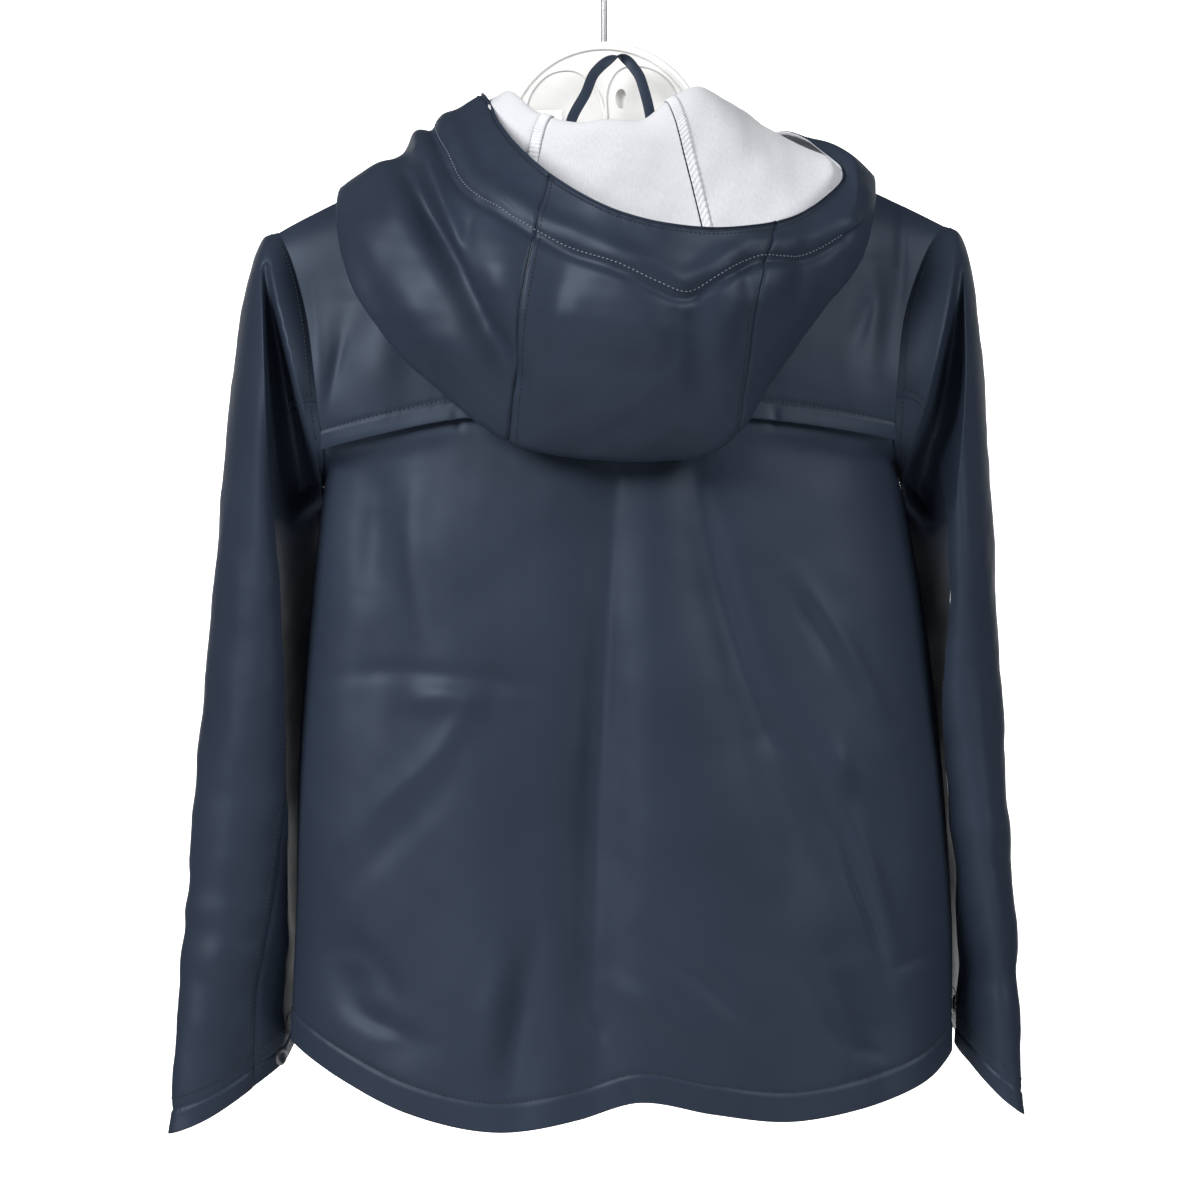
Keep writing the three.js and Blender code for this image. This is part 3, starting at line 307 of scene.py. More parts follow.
def smooth(values, station):
    """A smooth curve through values at stations 0, 1, 2 and so on. Each value may be an array."""
    values = [np.asarray(v, float) for v in values]
    last = len(values) - 1
    station = np.asarray(station, float)
    i = np.clip(np.floor(station).astype(int), 0, last - 1)
    shape = np.broadcast_shapes(station.shape, *(v.shape for v in values))
    stacked = np.stack([np.broadcast_to(v, shape) for v in values])
    i = np.broadcast_to(i, shape)

    def pick(k):
        return np.take_along_axis(stacked, np.clip(k, 0, last)[None], 0)[0]
    here, there = pick(i), pick(i + 1)
    before, after = pick(i - 1), pick(i + 2)
    return hermite(here, there, (there - before) / 2, (after - here) / 2, station - i)


def through(xs, ys, at):
    """A smooth curve through the points xs, ys, where xs rise."""
    xs = np.asarray(xs, float)
    ys = np.asarray(ys, float)
    at = np.asarray(at, float)
    secants = np.diff(ys) / np.diff(xs)
    slopes = np.concatenate([secants[:1], (secants[1:] + secants[:-1]) / 2, secants[-1:]])
    i = np.clip(np.searchsorted(xs, at, side="right") - 1, 0, len(xs) - 2)
    span = xs[i + 1] - xs[i]
    return hermite(ys[i], ys[i + 1], slopes[i] * span, slopes[i + 1] * span, (at - xs[i]) / span)


def bell(distance, width):
    return np.exp(-(distance / width) ** 2)


def ease(value, low, high):
    """0 below low, 1 above high, and smooth between them."""
    t = np.clip((np.asarray(value, float) - low) / (high - low), 0, 1)
    return t * t * (3 - 2 * t)


def fold_offset(xs, zs, x, z):
    """How far x and z lie from a fold's line, how far beyond its ends, and how far down it from 0 to 1."""
    top, bottom = zs[0], zs[2]
    way = (np.array(zs, float) - top) / (bottom - top)
    t = np.clip((z - top) / (bottom - top), 0, 1)
    beyond = np.maximum(np.maximum(z - top, bottom - z), 0)
    return x - through(way, xs, t), beyond, t


def fold_depth(folds, x, z):
    total = np.zeros_like(x)
    for xs, zs, width, depth in folds:
        off, beyond, t = fold_offset(xs, zs, x, z)
        reach = np.hypot(off, beyond) / width
        fade = 0.35 + 0.65 * np.sin(math.pi * np.clip(t, 0.05, 1))
        total += depth * np.exp(-reach * reach) * fade
    return total


def soft_line(points, count=8):
    """The smooth line through a few points, as more points."""
    xs, zs = zip(*points)
    stations = np.arange(len(points))
    at = np.linspace(0, len(points) - 1, count)
    return np.stack([through(stations, xs, at), through(stations, zs, at)], -1)


def line_distance(line, x, z):
    """How far x and z lie from a line, more than 0 on its left, and how far along it from 0 to 1."""
    best, side, share = np.full(x.shape, 1e9), np.ones(x.shape), np.zeros(x.shape)
    count = len(line) - 1
    for k, ((ax, az), (bx, bz)) in enumerate(zip(line[:-1], line[1:])):
        along_x, along_z = bx - ax, bz - az
        t = np.clip(((x - ax) * along_x + (z - az) * along_z) / (along_x ** 2 + along_z ** 2), 0, 1)
        dx, dz = x - ax - t * along_x, z - az - t * along_z
        nearer = np.hypot(dx, dz) < best
        best = np.where(nearer, np.hypot(dx, dz), best)
        side = np.where(nearer, np.sign(along_x * dz - along_z * dx), side)
        share = np.where(nearer, (k + t) / count, share)
    return best * side, share


def crease_depth(creases, x, z):
    total = np.zeros_like(x)
    for points, left, right, depth in creases:
        off, share = line_distance(soft_line(points), x, z)
        reach = off / np.where(off > 0, left, right)
        total += depth * np.exp(-reach * reach) * (0.3 + 0.7 * np.sin(math.pi * share))
    return total


def valley_depth(valley, x, z):
    """A trough with sharp edges, which widens on its way down."""
    xs, zs, widths, depths = valley
    off, beyond, t = fold_offset(xs, zs, x, z)
    width = smooth(widths, 2 * t)
    depth = smooth(depths, 2 * t)
    reach = np.hypot(off, 0.5 * beyond) / width
    return depth * np.maximum(1 - reach * reach, 0) ** 1.1


def across_z(side, across, level):
    """The height of a torso level, before the hem's own line."""
    edge = np.where(across < 0, smooth(TORSO["left_z"], level), smooth(TORSO["right_z"], level))
    outer = np.maximum(2 * np.abs(across) - 1, 0) ** 1.2
    inner = np.where(np.abs(across) < 0.5, np.cos(math.pi * across) ** 2, 0)
    mid = smooth(TORSO["mid_z"], level)
    centre = smooth(TORSO["back_z" if side < 0 else "front_z"], level)
    return mid + (edge - mid) * outer + (centre - mid) * inner


def hem_height(side, across):
    return through(*zip(*(BACK_HEM if side < 0 else FRONT_HEM)), across)


def torso_z(side, across, level):
    """The height of the torso's face: the last level follows the hem."""
    hem = hem_height(side, across)
    above = across_z(side, across, HEM_LEVEL - 1.0)
    share = np.clip(level - HEM_LEVEL + 1, 0, 1)
    return np.where(level > HEM_LEVEL - 1, above + (hem - above) * share, across_z(side, across, level))


def torso(side, across, level):
    """The torso's outer face: side is -1 behind and 1 in front."""
    across, level = np.broadcast_arrays(np.asarray(across, float), np.asarray(level, float))
    left, right = smooth(TORSO["left_x"], level), smooth(TORSO["right_x"], level)
    x = (right + left) / 2 + (right - left) / 2 * across
    turn = across * np.sin(np.radians(smooth(TORSO["wrap"], level)))
    depth = np.maximum(smooth(TORSO["back" if side < 0 else "front"], level), 0)
    swell = np.maximum(smooth(TORSO["swell_back" if side < 0 else "swell_front"], level), 0)
    in_neck = np.maximum(1 - 4 * across * across, 0)
    out = depth * np.maximum(1 - turn * turn, 0) ** (ROUNDNESS / 2)
    out = out + swell * in_neck ** (0.5 + 0.6 * np.minimum(level, 2))
    z = torso_z(side, across, level)
    out = out - fold_depth(BACK_FOLDS if side < 0 else FRONT_FOLDS, x, z) * (1 - across ** 8)
    return np.stack([x, side * out, z], -1)


def across_at(x, level):
    left, right = smooth(TORSO["left_x"], level), smooth(TORSO["right_x"], level)
    return np.clip((2 * x - left - right) / (right - left), -1, 1)


def level_at(side, x, z):
    """The torso level of the face's point at x and z."""
    x, z = np.broadcast_arrays(np.asarray(x, float), np.asarray(z, float))
    high, low = np.zeros_like(x), np.full_like(x, HEM_LEVEL)
    for _ in range(18):
        level = (high + low) / 2
        above = torso_z(side, across_at(x, level), level) > z
        high, low = np.where(above, level, high), np.where(above, low, level)
    return (high + low) / 2


def torso_face(side, x, z):
    level = level_at(side, x, z)
    return torso(side, across_at(x, level), level)


def armhole(across, turn):
    turn = np.asarray(turn, float)
    half = np.where(turn <= 3, turn, 6 - turn)
    level = np.clip(smooth([0, 1.75, 3.35, UNDERARM_LEVEL], half), 0, UNDERARM_LEVEL)
    point = np.where((turn <= 3)[..., None], torso(-1, across, level), torso(1, across, level))
    point[..., 0] += across * ARMHOLE_GAP
    return point


def sleeve_controls(side, down):
    def at(key):
        return smooth(SLEEVES[side][key], down)
    top = np.stack([at("top_x"), at("top_y"), at("top_z")], -1)
    inner = np.stack([at("in_x"), at("in_y"), at("in_z")], -1)

    def place(share, y, drop=0.0):
        share = np.asarray(share, float)[..., None]
        point = top + (inner - top) * share
        point[..., 1] += y
        point[..., 2] -= drop
        return point
    ridge, sag = at("ridge"), at("sag")
    one = np.ones_like(ridge)
    return [top, place(0.42 * ridge, 0.8 * at("back"), sag), place(ridge, at("back"), sag), inner,
            place(0.6 * one, at("front")), place(0.13 * one, 0.84 * at("front"))]


def ring(controls, turn):
    """A closed curve through six points, one at each whole turn."""
    stacked = np.stack([np.broadcast_to(c, turn.shape + (3,)) for c in controls])
    i = np.floor(turn).astype(int)

    def pick(k):
        return np.take_along_axis(stacked, ((k % 6)[None, ..., None]), 0)[0]
    here, there = pick(i), pick(i + 1)
    before, after = pick(i - 1), pick(i + 2)
    return hermite(here, there, (there - before) / 2, (after - here) / 2, (turn - i)[..., None])


def sleeve(side, turn, down):
    turn, down = np.broadcast_arrays(np.asarray(turn, float), np.asarray(down, float))
    wrapped = np.mod(turn, 6)
    point = ring(sleeve_controls(side, down), wrapped)
    near = np.maximum(1 - down, 0)[..., None]
    seam = armhole(side, wrapped) - ring(sleeve_controls(side, np.zeros_like(down)), wrapped)
    point = point + seam * near * near
    facing_body = np.sin(math.pi * np.clip(wrapped - 2, 0, 1))
    point[..., 0] += side * smooth(SLEEVES[side]["dent"], down) * facing_body
    deep = valley_depth(SLEEVE_VALLEYS[side], point[..., 0], point[..., 2])
    behind = np.clip(-point[..., 1] / 12, 0, 1)
    point[..., 1] += deep * ease(down, 0, 0.6) * behind
    return point


def hood(angle, way):
    """The hood's navy face: way runs from the neck seam at 0 over the roll and round the bag to the rim."""
    angle, way = np.broadcast_arrays(np.asarray(angle, float), np.asarray(way, float))

    def at(key):
        return through(HOOD["angle"], HOOD[key], angle)
    across = 0.5 * np.sin(np.radians(angle))
    front = np.abs(angle) > 90
    neck = np.where(front[..., None], torso(1, across, 0.0), torso(-1, across, 0.0))
    neck[..., 2] += HOOD_NECK_GAP + np.where(front, OVER - SEAM + 0.1, 0)
    roll = np.stack([at("roll_x"), at("roll_y"), at("roll_z")], -1)
    fold = np.stack([at("fold_x"), at("fold_y"), at("fold_z")], -1)
    rim = np.stack([at("rim_x"), at("rim_y"), at("rim_z")], -1)
    outward = fold - neck
    outward[..., 2] = 0
    outward /= np.linalg.norm(outward, axis=-1, keepdims=True)
    share = np.clip((HOOD["angle"][-1] - np.abs(angle)) / ROLL_FADE, 0.1, 1)[..., None]
    rolled = roll + outward * ROLL_WIDTH * share
    rolled[..., 2:] -= ROLL_DROP * share
    rest = rolled + (fold - rolled) * 0.55
    face = torso_face(-1, rest[..., 0], rest[..., 2])[..., 1] - OVER - HOOD_REST
    rest[..., 1] = np.where(np.abs(angle) < FLAT_SIDE, np.minimum(face, rest[..., 1]), rest[..., 1])
    bulge = fold + (rim - fold) * 0.5
    bulge[..., 1] = at("bulge")
    bulge[..., 2] += at("puff")
    return smooth([neck, roll, rolled, rest, fold, bulge, rim], way[..., None])


# Mesh helpers

def link(name, mesh):
    obj = bpy.data.objects.new(name, mesh)
    bpy.context.scene.collection.objects.link(obj)
    return obj


def spread(low, high, steps, *close):
    """Stations from low to high, closer together round each (place, reach, how much closer)."""
    fine = np.linspace(low, high, 2001)
    density = np.ones_like(fine)
    for place, reach, much in close:
        density += much * bell(fine - place, reach)
    way = np.concatenate([[0], np.cumsum((density[1:] + density[:-1]) / 2)])
    return np.interp(np.linspace(0, way[-1], steps + 1), way, fine)


def inset(at, edge, towards, distance):
    """Where lines at(t) are a distance away from the edge, on their way from edge to towards."""
    steps = np.linspace(0, 1, 40)
    points = np.stack([at(edge + (towards - edge) * s) for s in steps])
    lengths = np.linalg.norm(np.diff(points, axis=0), axis=-1)
    way = np.concatenate([np.zeros((1, lengths.shape[1])), np.cumsum(lengths, axis=0)])
    share = np.array([np.interp(distance, way[:, k], steps) for k in range(way.shape[1])])
    return edge + (towards - edge) * share


def grid_object(name, us, vs, place, flip, flat):
    """A grid at the stations us and vs, with points from place(u, v) in millimetres and UVs in metres."""
    bm = bmesh.new()
    bmesh.ops.create_grid(bm, x_segments=len(us) - 1, y_segments=len(vs) - 1, size=1.0)
    if flip:
        bmesh.ops.reverse_faces(bm, faces=bm.faces)
    mesh = bpy.data.meshes.new(name)
    bm.to_mesh(mesh)
    bm.free()
    plane = np.empty(3 * len(mesh.vertices))
    mesh.vertices.foreach_get("co", plane)
    plane = plane.reshape(-1, 3)[:, :2]
    share = (plane - plane.min(0)) / (plane.max(0) - plane.min(0))
    u = np.interp(share[:, 0], np.linspace(0, 1, len(us)), us)
    v = np.interp(share[:, 1], np.linspace(0, 1, len(vs)), vs)
    mesh.vertices.foreach_set("co", (place(u, v) * MM).ravel())
    corners = np.empty(len(mesh.loops), dtype=np.int32)
    mesh.loops.foreach_get("vertex_index", corners)
    layer = mesh.uv_layers.new(name="cloth")
    across = (u - us[0]) / (us[-1] - us[0]) * flat[0]
    along = (v - vs[0]) / (vs[-1] - vs[0]) * flat[1]
    lengths = np.stack([across, along], -1)
    layer.data.foreach_set("uv", lengths[corners].ravel())
    mesh.shade_smooth()
    mesh.update()
    return link(name, mesh)


class Panel:
    """A piece of cloth: face(u, v) is its form, and rise(u, v, points) is how far it stands out from that."""

    def __init__(self, face, us, vs, facing, rise):
        self.face, self.us, self.vs, self.facing, self.rise = face, us, vs, facing, rise

    def normals(self, u, v):
        step_u = (self.us[-1] - self.us[0]) * 1e-3
        step_v = (self.vs[-1] - self.vs[0]) * 1e-3
        left, right = np.maximum(u - step_u, self.us[0]), np.minimum(u + step_u, self.us[-1])
        above, below = np.maximum(v - step_v, self.vs[0]), np.minimum(v + step_v, self.vs[-1])
        du = self.face(right, v) - self.face(left, v)
        dv = self.face(u, below) - self.face(u, above)
        normal = np.cross(du, dv) * self.facing
        return normal / np.maximum(np.linalg.norm(normal, axis=-1, keepdims=True), 1e-9)

    def at(self, u, v, out=0.0):
        u, v = np.broadcast_arrays(np.asarray(u, float), np.asarray(v, float))
        points = self.face(u, v)
        return points + self.normals(u, v) * (self.rise(u, v, points) + out)[..., None]

    def run(self, u, v, out=0.0):
        """A line on the cloth for sewing: its points and the normals there."""
        u, v = np.broadcast_arrays(np.asarray(u, float), np.asarray(v, float))
        return self.at(u, v, out), self.normals(u, v)

    def build(self, name, flat, wall=WALL, finish="coated cloth", inside="knit side"):
        obj = grid_object(name, self.us, self.vs, self.at, self.facing < 0, flat)
        for material in (finish, inside):
            obj.data.materials.append(MATERIALS[material])
        thick = obj.modifiers.new("wall", "SOLIDIFY")
        thick.thickness = wall * MM
        thick.offset = -1
        thick.material_offset = 1
        return obj


def no_rise(u, v, points):
    """The rise of a piece that lies on its form."""
    return np.zeros(np.shape(u))


def finish_cloth(obj, nodes, flat, area, slot="coated_cloth", rests_on=()):
    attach(obj, "root")
    if nodes:
        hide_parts(*nodes)


def stitches(name, runs, pitch, thick, finish="thread"):
    """Sewn lines: a small rounded bar for each stitch, along runs of points with their normals."""
    bm = bmesh.new()
    bmesh.ops.create_icosphere(bm, subdivisions=1, radius=1.0)
    bm.verts.index_update()
    shape = np.array([v.co[:] for v in bm.verts])
    sides = np.array([[v.index for v in f.verts] for f in bm.faces])
    bm.free()
    points, faces, total = [], [], 0
    for line, normals in runs:
        way = np.concatenate([[0], np.cumsum(np.linalg.norm(np.diff(line, axis=0), axis=1))])
        count = max(int(way[-1] / pitch), 1)
        middle = (np.arange(count) + 0.5) * way[-1] / count
        half = 0.36 * way[-1] / count

        def along(values, at):
            return np.stack([np.interp(at, way, values[:, k]) for k in range(3)], -1)
        start, end, up = along(line, middle - half), along(line, middle + half), along(normals, middle)
        up /= np.linalg.norm(up, axis=-1, keepdims=True)
        axis = (end - start) / 2
        beside = np.cross(up, axis)
        beside /= np.maximum(np.linalg.norm(beside, axis=-1, keepdims=True), 1e-9)
        bars = ((start + end) / 2)[:, None] + shape[None, :, :1] * axis[:, None] \
            + shape[None, :, 1:2] * beside[:, None] * thick + shape[None, :, 2:] * up[:, None] * thick
        points.append(bars.reshape(-1, 3))
        faces.append((sides[None] + (np.arange(count) * len(shape))[:, None, None] + total).reshape(-1, 3))
        total += count * len(shape)
    mesh = bpy.data.meshes.new(name)
    mesh.from_pydata((np.concatenate(points) * MM).tolist(), [], np.concatenate(faces).tolist())
    mesh.shade_smooth()
    mesh.materials.append(MATERIALS[finish])
    obj = link(name, mesh)
    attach(obj, "root")
    return obj


def bead(name, points, radius, finish):
    """A round raised line through points, closed at its ends."""
    stations = np.arange(len(points), dtype=float)
    turns = np.linspace(0, 2 * math.pi, 11)
    ways = np.linspace(0, len(points) - 1, 12 * len(points))

    def middle(way):
        return np.stack([through(stations, column, way) for column in np.array(points, float).T], -1)

    def place(turn, way):
        along = middle(np.minimum(way + 0.01, stations[-1])) - middle(np.maximum(way - 0.01, 0))
        along /= np.linalg.norm(along, axis=-1, keepdims=True)
        beside = np.stack([-along[..., 2], np.zeros_like(way), along[..., 0]], -1)
        ends = np.sqrt(np.clip(np.minimum(way, stations[-1] - way) / 0.12, 0, 1))
        out = beside * np.cos(turn)[..., None] + np.array([0.0, 1.0, 0.0]) * np.sin(turn)[..., None]
        return middle(way) + out * (radius * ends)[..., None]
    obj = grid_object(name, turns, ways, place, False, (0.01, 0.1))
    bm = bmesh.new()
    bm.from_mesh(obj.data)
    bmesh.ops.remove_doubles(bm, verts=bm.verts, dist=1e-6)
    bmesh.ops.recalc_face_normals(bm, faces=bm.faces)
    bm.to_mesh(obj.data)
    bm.free()
    obj.data.materials.append(MATERIALS[finish])
    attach(obj, "root")
    return obj


# Materials

MATERIALS = {}


def node_material(name):
    material = bpy.data.materials.new(name)
    material.use_nodes = True
    MATERIALS[name] = material
    return material.node_tree, material.node_tree.nodes["Principled BSDF"]


def add_node(tree, kind, **values):
    node = tree.nodes.new(kind)
    for key, value in values.items():
        if key in node.inputs:
            node.inputs[key].default_value = value
        else:
            setattr(node, key, value)
    return node


def colour_ramp(tree, source, colour, dark, light, low=0.0, high=1.0):
    ramp = add_node(tree, "ShaderNodeValToRGB")
    ramp.color_ramp.elements[0].position = low
    ramp.color_ramp.elements[0].color = (*(c * dark for c in colour), 1)
    ramp.color_ramp.elements[1].position = high
    ramp.color_ramp.elements[1].color = (*(min(c * light, 1) for c in colour), 1)
    tree.links.new(source, ramp.inputs["Fac"])
    return ramp.outputs["Color"]


def coated_cloth(colour):
    tree, shader = node_material("coated cloth")
    place = add_node(tree, "ShaderNodeTexCoord")
    cloudy = add_node(tree, "ShaderNodeTexNoise", Scale=11.0, Detail=4.0, Roughness=0.55)
    tree.links.new(place.outputs["Object"], cloudy.inputs["Vector"])
    tint = colour_ramp(tree, cloudy.outputs["Fac"], colour, 0.9, 1.1, 0.3, 0.75)
    tree.links.new(tint, shader.inputs["Base Color"])
    gloss = add_node(tree, "ShaderNodeMapRange")
    gloss.inputs["To Min"].default_value = 0.46
    gloss.inputs["To Max"].default_value = 0.56
    tree.links.new(cloudy.outputs["Fac"], gloss.inputs["Value"])
    tree.links.new(gloss.outputs["Result"], shader.inputs["Roughness"])
    grain = add_node(tree, "ShaderNodeTexNoise", Scale=1100.0, Detail=2.0, Roughness=0.6)
    tree.links.new(place.outputs["Object"], grain.inputs["Vector"])
    bump = add_node(tree, "ShaderNodeBump", Strength=0.14, Distance=0.0002)
    tree.links.new(grain.outputs["Fac"], bump.inputs["Height"])
    tree.links.new(bump.outputs["Normal"], shader.inputs["Normal"])
    shader.inputs["Specular IOR Level"].default_value = 0.25
    shader.inputs["Specular Tint"].default_value = (0.72, 0.84, 1.0, 1)


def knit_side(name, colour, scale):
    tree, shader = node_material(name)
    place = add_node(tree, "ShaderNodeTexCoord")
    loops = add_node(tree, "ShaderNodeTexNoise", Scale=scale, Detail=3.0, Roughness=0.7)
    stretch = add_node(tree, "ShaderNodeMapping")
    stretch.inputs["Scale"].default_value = (1.0, 0.45, 1.0)
    tree.links.new(place.outputs["UV"], stretch.inputs["Vector"])
    tree.links.new(stretch.outputs["Vector"], loops.inputs["Vector"])
    tint = colour_ramp(tree, loops.outputs["Fac"], colour, 0.9, 1.06, 0.3, 0.7)
    tree.links.new(tint, shader.inputs["Base Color"])
    bump = add_node(tree, "ShaderNodeBump", Strength=0.3, Distance=0.0003)
    tree.links.new(loops.outputs["Fac"], bump.inputs["Height"])
    tree.links.new(bump.outputs["Normal"], shader.inputs["Normal"])
    shader.inputs["Roughness"].default_value = 0.8
    shader.inputs["Sheen Weight"].default_value = 0.2


def plain_grained(name, colour, roughness, scale, strength, metallic=0.0):
    tree, shader = node_material(name)
    place = add_node(tree, "ShaderNodeTexCoord")
    grain = add_node(tree, "ShaderNodeTexNoise", Scale=scale, Detail=3.0)
    tree.links.new(place.outputs["Object"], grain.inputs["Vector"])
    tree.links.new(colour_ramp(tree, grain.outputs["Fac"], colour, 0.85, 1.1), shader.inputs["Base Color"])
    bump = add_node(tree, "ShaderNodeBump", Strength=strength, Distance=0.0002)
    tree.links.new(grain.outputs["Fac"], bump.inputs["Height"])
    tree.links.new(bump.outputs["Normal"], shader.inputs["Normal"])
    shader.inputs["Roughness"].default_value = roughness
    shader.inputs["Metallic"].default_value = metallic


# Panels

def round_across(w):
    return np.sin(math.pi / 2 * np.asarray(w))


def ripple(points, scale, amount, seed):
    """Soft uneven swell of the cloth, in millimetres: crossing waves of unlike lengths."""
    total = np.zeros(points.shape[:-1])
    for k in range(6):
        turn = 1.1 * k + seed
        way = np.array([math.cos(turn), 0.6 * math.sin(2 * turn), math.sin(turn)])
        stretch = scale * (0.8 + 0.17 * k)
        bend = np.sin(points[..., 2] / stretch + k)
        total += np.sin(points @ way * 2 * math.pi / stretch + 2.3 * seed * k + bend)
    return total * amount / 4


def puckers(along, distance, amount=0.13):
    """Small puckers beside a stitch line: along runs with the line, and distance is measured from it."""
    wave = np.sin(along * 2 * math.pi / PUCKER + 2.6 * np.sin(along / 13.0) + 1.9 * np.sin(along / 5.3))
    uneven = 0.55 + 0.45 * np.sin(along / 23.0 + 1.3 * np.sin(along / 9.1))
    return amount * wave * uneven * bell(distance, 4.0)


def sewn(distance, thick=0.5):
    """A turned-in edge: thicker past its stitch line, where distance is over 0, with a groove there."""
    return thick * ease(distance, -0.5, 2.5) - 0.45 * bell(distance, 1.3)


def below_hem_stitch(side, across, level):
    """How many millimetres a place lies below the hem's stitch line."""
    hem = hem_height(side, across)
    above = across_z(side, across, HEM_LEVEL - 1.0)
    share = np.clip(level - HEM_LEVEL + 1, 0, 1)
    return (above - hem) * (share - 1) + HEM_STITCH


def hem_stitch_level(side, across):
    above = across_z(side, across, HEM_LEVEL - 1.0)
    return HEM_LEVEL - HEM_STITCH / (above - hem_height(side, across))


def torso_panels(fineness, swell):
    def hem_rise(side, w, level, points):
        distance = below_hem_stitch(side, round_across(w), level)
        edge = sewn(distance) * ease(level, HEM_LEVEL - 1, HEM_LEVEL - 0.8)
        return edge + puckers(points[..., 0], distance)

    def back_form(w, level, points):
        x, z = points[..., 0], points[..., 2]
        edge = 1 - round_across(w) ** 12
        form = ripple(points, 62, swell, 3.1) + ripple(points, 21, 0.2 * swell, 9.4)
        form -= crease_depth(BACK_CREASES, x, z)
        return form * edge

    def back_rise(w, level, points):
        tucked = -0.6 * (1 - ease(level, YOKE_LEVEL - 0.1, YOKE_LEVEL + 0.3))
        return back_form(w, level, points) + tucked + hem_rise(-1, w, level, points)

    def yoke_rise(w, level, points):
        distance = (level - YOKE_STITCH) * 40.0
        flap = 1.3 * ease(level, YOKE_STITCH, YOKE_LEVEL)
        return back_form(w, level, points) + OVER + sewn(distance) + flap + puckers(points[..., 0], distance)

    def front_form(w, level, points):
        x, z = points[..., 0], points[..., 2]
        edge = 1 - round_across(w) ** 12
        form = ripple(points, 62, swell, 5.3) + ripple(points, 21, 0.2 * swell, 2.4)
        form -= crease_depth(FRONT_CREASES, x, z)
        return form * edge

    def placket(w, edge, way):
        """Turned-in front edge, stitched 3 mm and 33 mm from it."""
        distance = (w - edge) * way * 250.0
        grooves = bell(distance - 33, 1.3) + bell(distance - 3, 1.3)
        return 0.4 * (ease(-distance, -34, -33) - grooves)

    def left_rise(w, level, points):
        lapped = OVER * ease(w, -3 * ACROSS_OVERLAP, -1.5 * ACROSS_OVERLAP)
        return (front_form(w, level, points) + lapped + placket(w, ACROSS_OVERLAP, -1)
                + hem_rise(1, w, level, points))

    def right_rise(w, level, points):
        return front_form(w, level, points) + hem_rise(1, w, level, points)

    def back_face(w, level):
        return torso(-1, round_across(w), level)

    def front_face(w, level):
        return torso(1, round_across(w), level)
    around = np.linspace(-SIDE_EDGE, SIDE_EDGE, fineness + 1)
    hem = (HEM_LEVEL - 0.1, 0.14, 3.0)
    left = spread(-SIDE_EDGE, ACROSS_OVERLAP, fineness // 2, (ACROSS_OVERLAP, 0.02, 3.0))
    right = np.linspace(-ACROSS_OVERLAP, SIDE_EDGE, fineness // 2 + 1)
    down = spread(0, HEM_LEVEL, int(fineness * 0.9), hem)
    below_yoke = spread(YOKE_LEVEL - YOKE_TUCK, HEM_LEVEL, int(fineness * 0.8), hem)
    above_yoke = spread(0, YOKE_LEVEL, fineness // 2, (YOKE_LEVEL - 0.14, 0.16, 3.0))
    return {
        "back": Panel(back_face, around, below_yoke, -1, back_rise),
        "yoke": Panel(back_face, around, above_yoke, -1, yoke_rise),
        "left": Panel(front_face, left, down, 1, left_rise),
        "right": Panel(front_face, right, down, 1, right_rise),
    }


def sleeve_panels(side, fineness):
    def seam(down):
        return smooth(SLEEVES[side]["seam"], down)

    def upper_turn(u, down):
        start, end = FRONT_SEAM - 6 + SLEEVE_SEAM_GAP, seam(down) - SLEEVE_SEAM_GAP
        return start + (end - start) * u

    def under_turn(u, down):
        start, end = seam(down) + SLEEVE_SEAM_GAP, FRONT_SEAM - SLEEVE_SEAM_GAP
        return start + (end - start) * u

    def form(u, turn, down, points, width):
        distance = (down - SLEEVE_END) * 66.0 + CUFF_STITCH
        seams = bell(u * width, 1.6) + bell((1 - u) * width, 1.6)
        soft = ripple(points, 40, 0.7, 5.7) + ripple(points, 17, 0.25, 1.3)
        creased = ripple(points * np.array([0.6, 0.6, 2.2]), 60, 0.9, 8.1 + side) * ease(down, 5, 7.5)
        head = ease(down, 0, 0.5)
        # The head meets the yoke, which lies over the back
        lifted = OVER * ease(turn, -0.6, 0.1) * (1 - ease(turn, 1.9, 2.6)) * (1 - ease(down, 0.1, 1.6))
        # The valley behind the arm stays smooth, so that its steep sides don't cross
        behind = ease(turn, 0, 0.4) * (1 - ease(turn, 2.8, 3.3))
        calm = head * (1 - behind * (1 - ease(down, 4, 5)))
        cuff = sewn(distance) * ease(down, 8, 8.3) + puckers(u * width, distance)
        return lifted + (soft + creased - 0.5 * seams) * calm + cuff
    across_upper = spread(0, 1, int(fineness * 0.8), (0.78, 0.2, 2.0), (1, 0.05, 1.5), (0, 0.03, 1.0))
    across_under = spread(0, 1, int(fineness * 0.4), (0, 0.06, 1.5), (1, 0.06, 1.5))
    down = spread(0, SLEEVE_END, int(fineness * 0.95), (0.2, 0.6, 1.0), (SLEEVE_END - 0.2, 0.2, 2.5))
    return {
        "upper": Panel(lambda u, v: sleeve(side, upper_turn(u, v), v), across_upper, down, side,
                       lambda u, v, p: form(u, upper_turn(u, v), v, p, 150.0)),
        "under": Panel(lambda u, v: sleeve(side, under_turn(u, v), v), across_under, down, side,
                       lambda u, v, p: form(u, under_turn(u, v), v, p, 90.0)),
    }


def seen(points):
    """x and z of points as the photographer sees them, at the hanger's depth."""
    nearer = CAMERA_AWAY / (CAMERA_AWAY + points[..., 1])
    x = CAMERA_X + (points[..., 0] - CAMERA_X) * nearer
    return x, CAMERA_Z + (points[..., 2] - CAMERA_Z) * nearer


def hood_seam(word, way):
    return smooth(HOOD_SEAMS[word], way)


def hood_outside(points, way):
    return ease(way, 4, 4.6) * (1 - ease(points[..., 1], 5, 40))


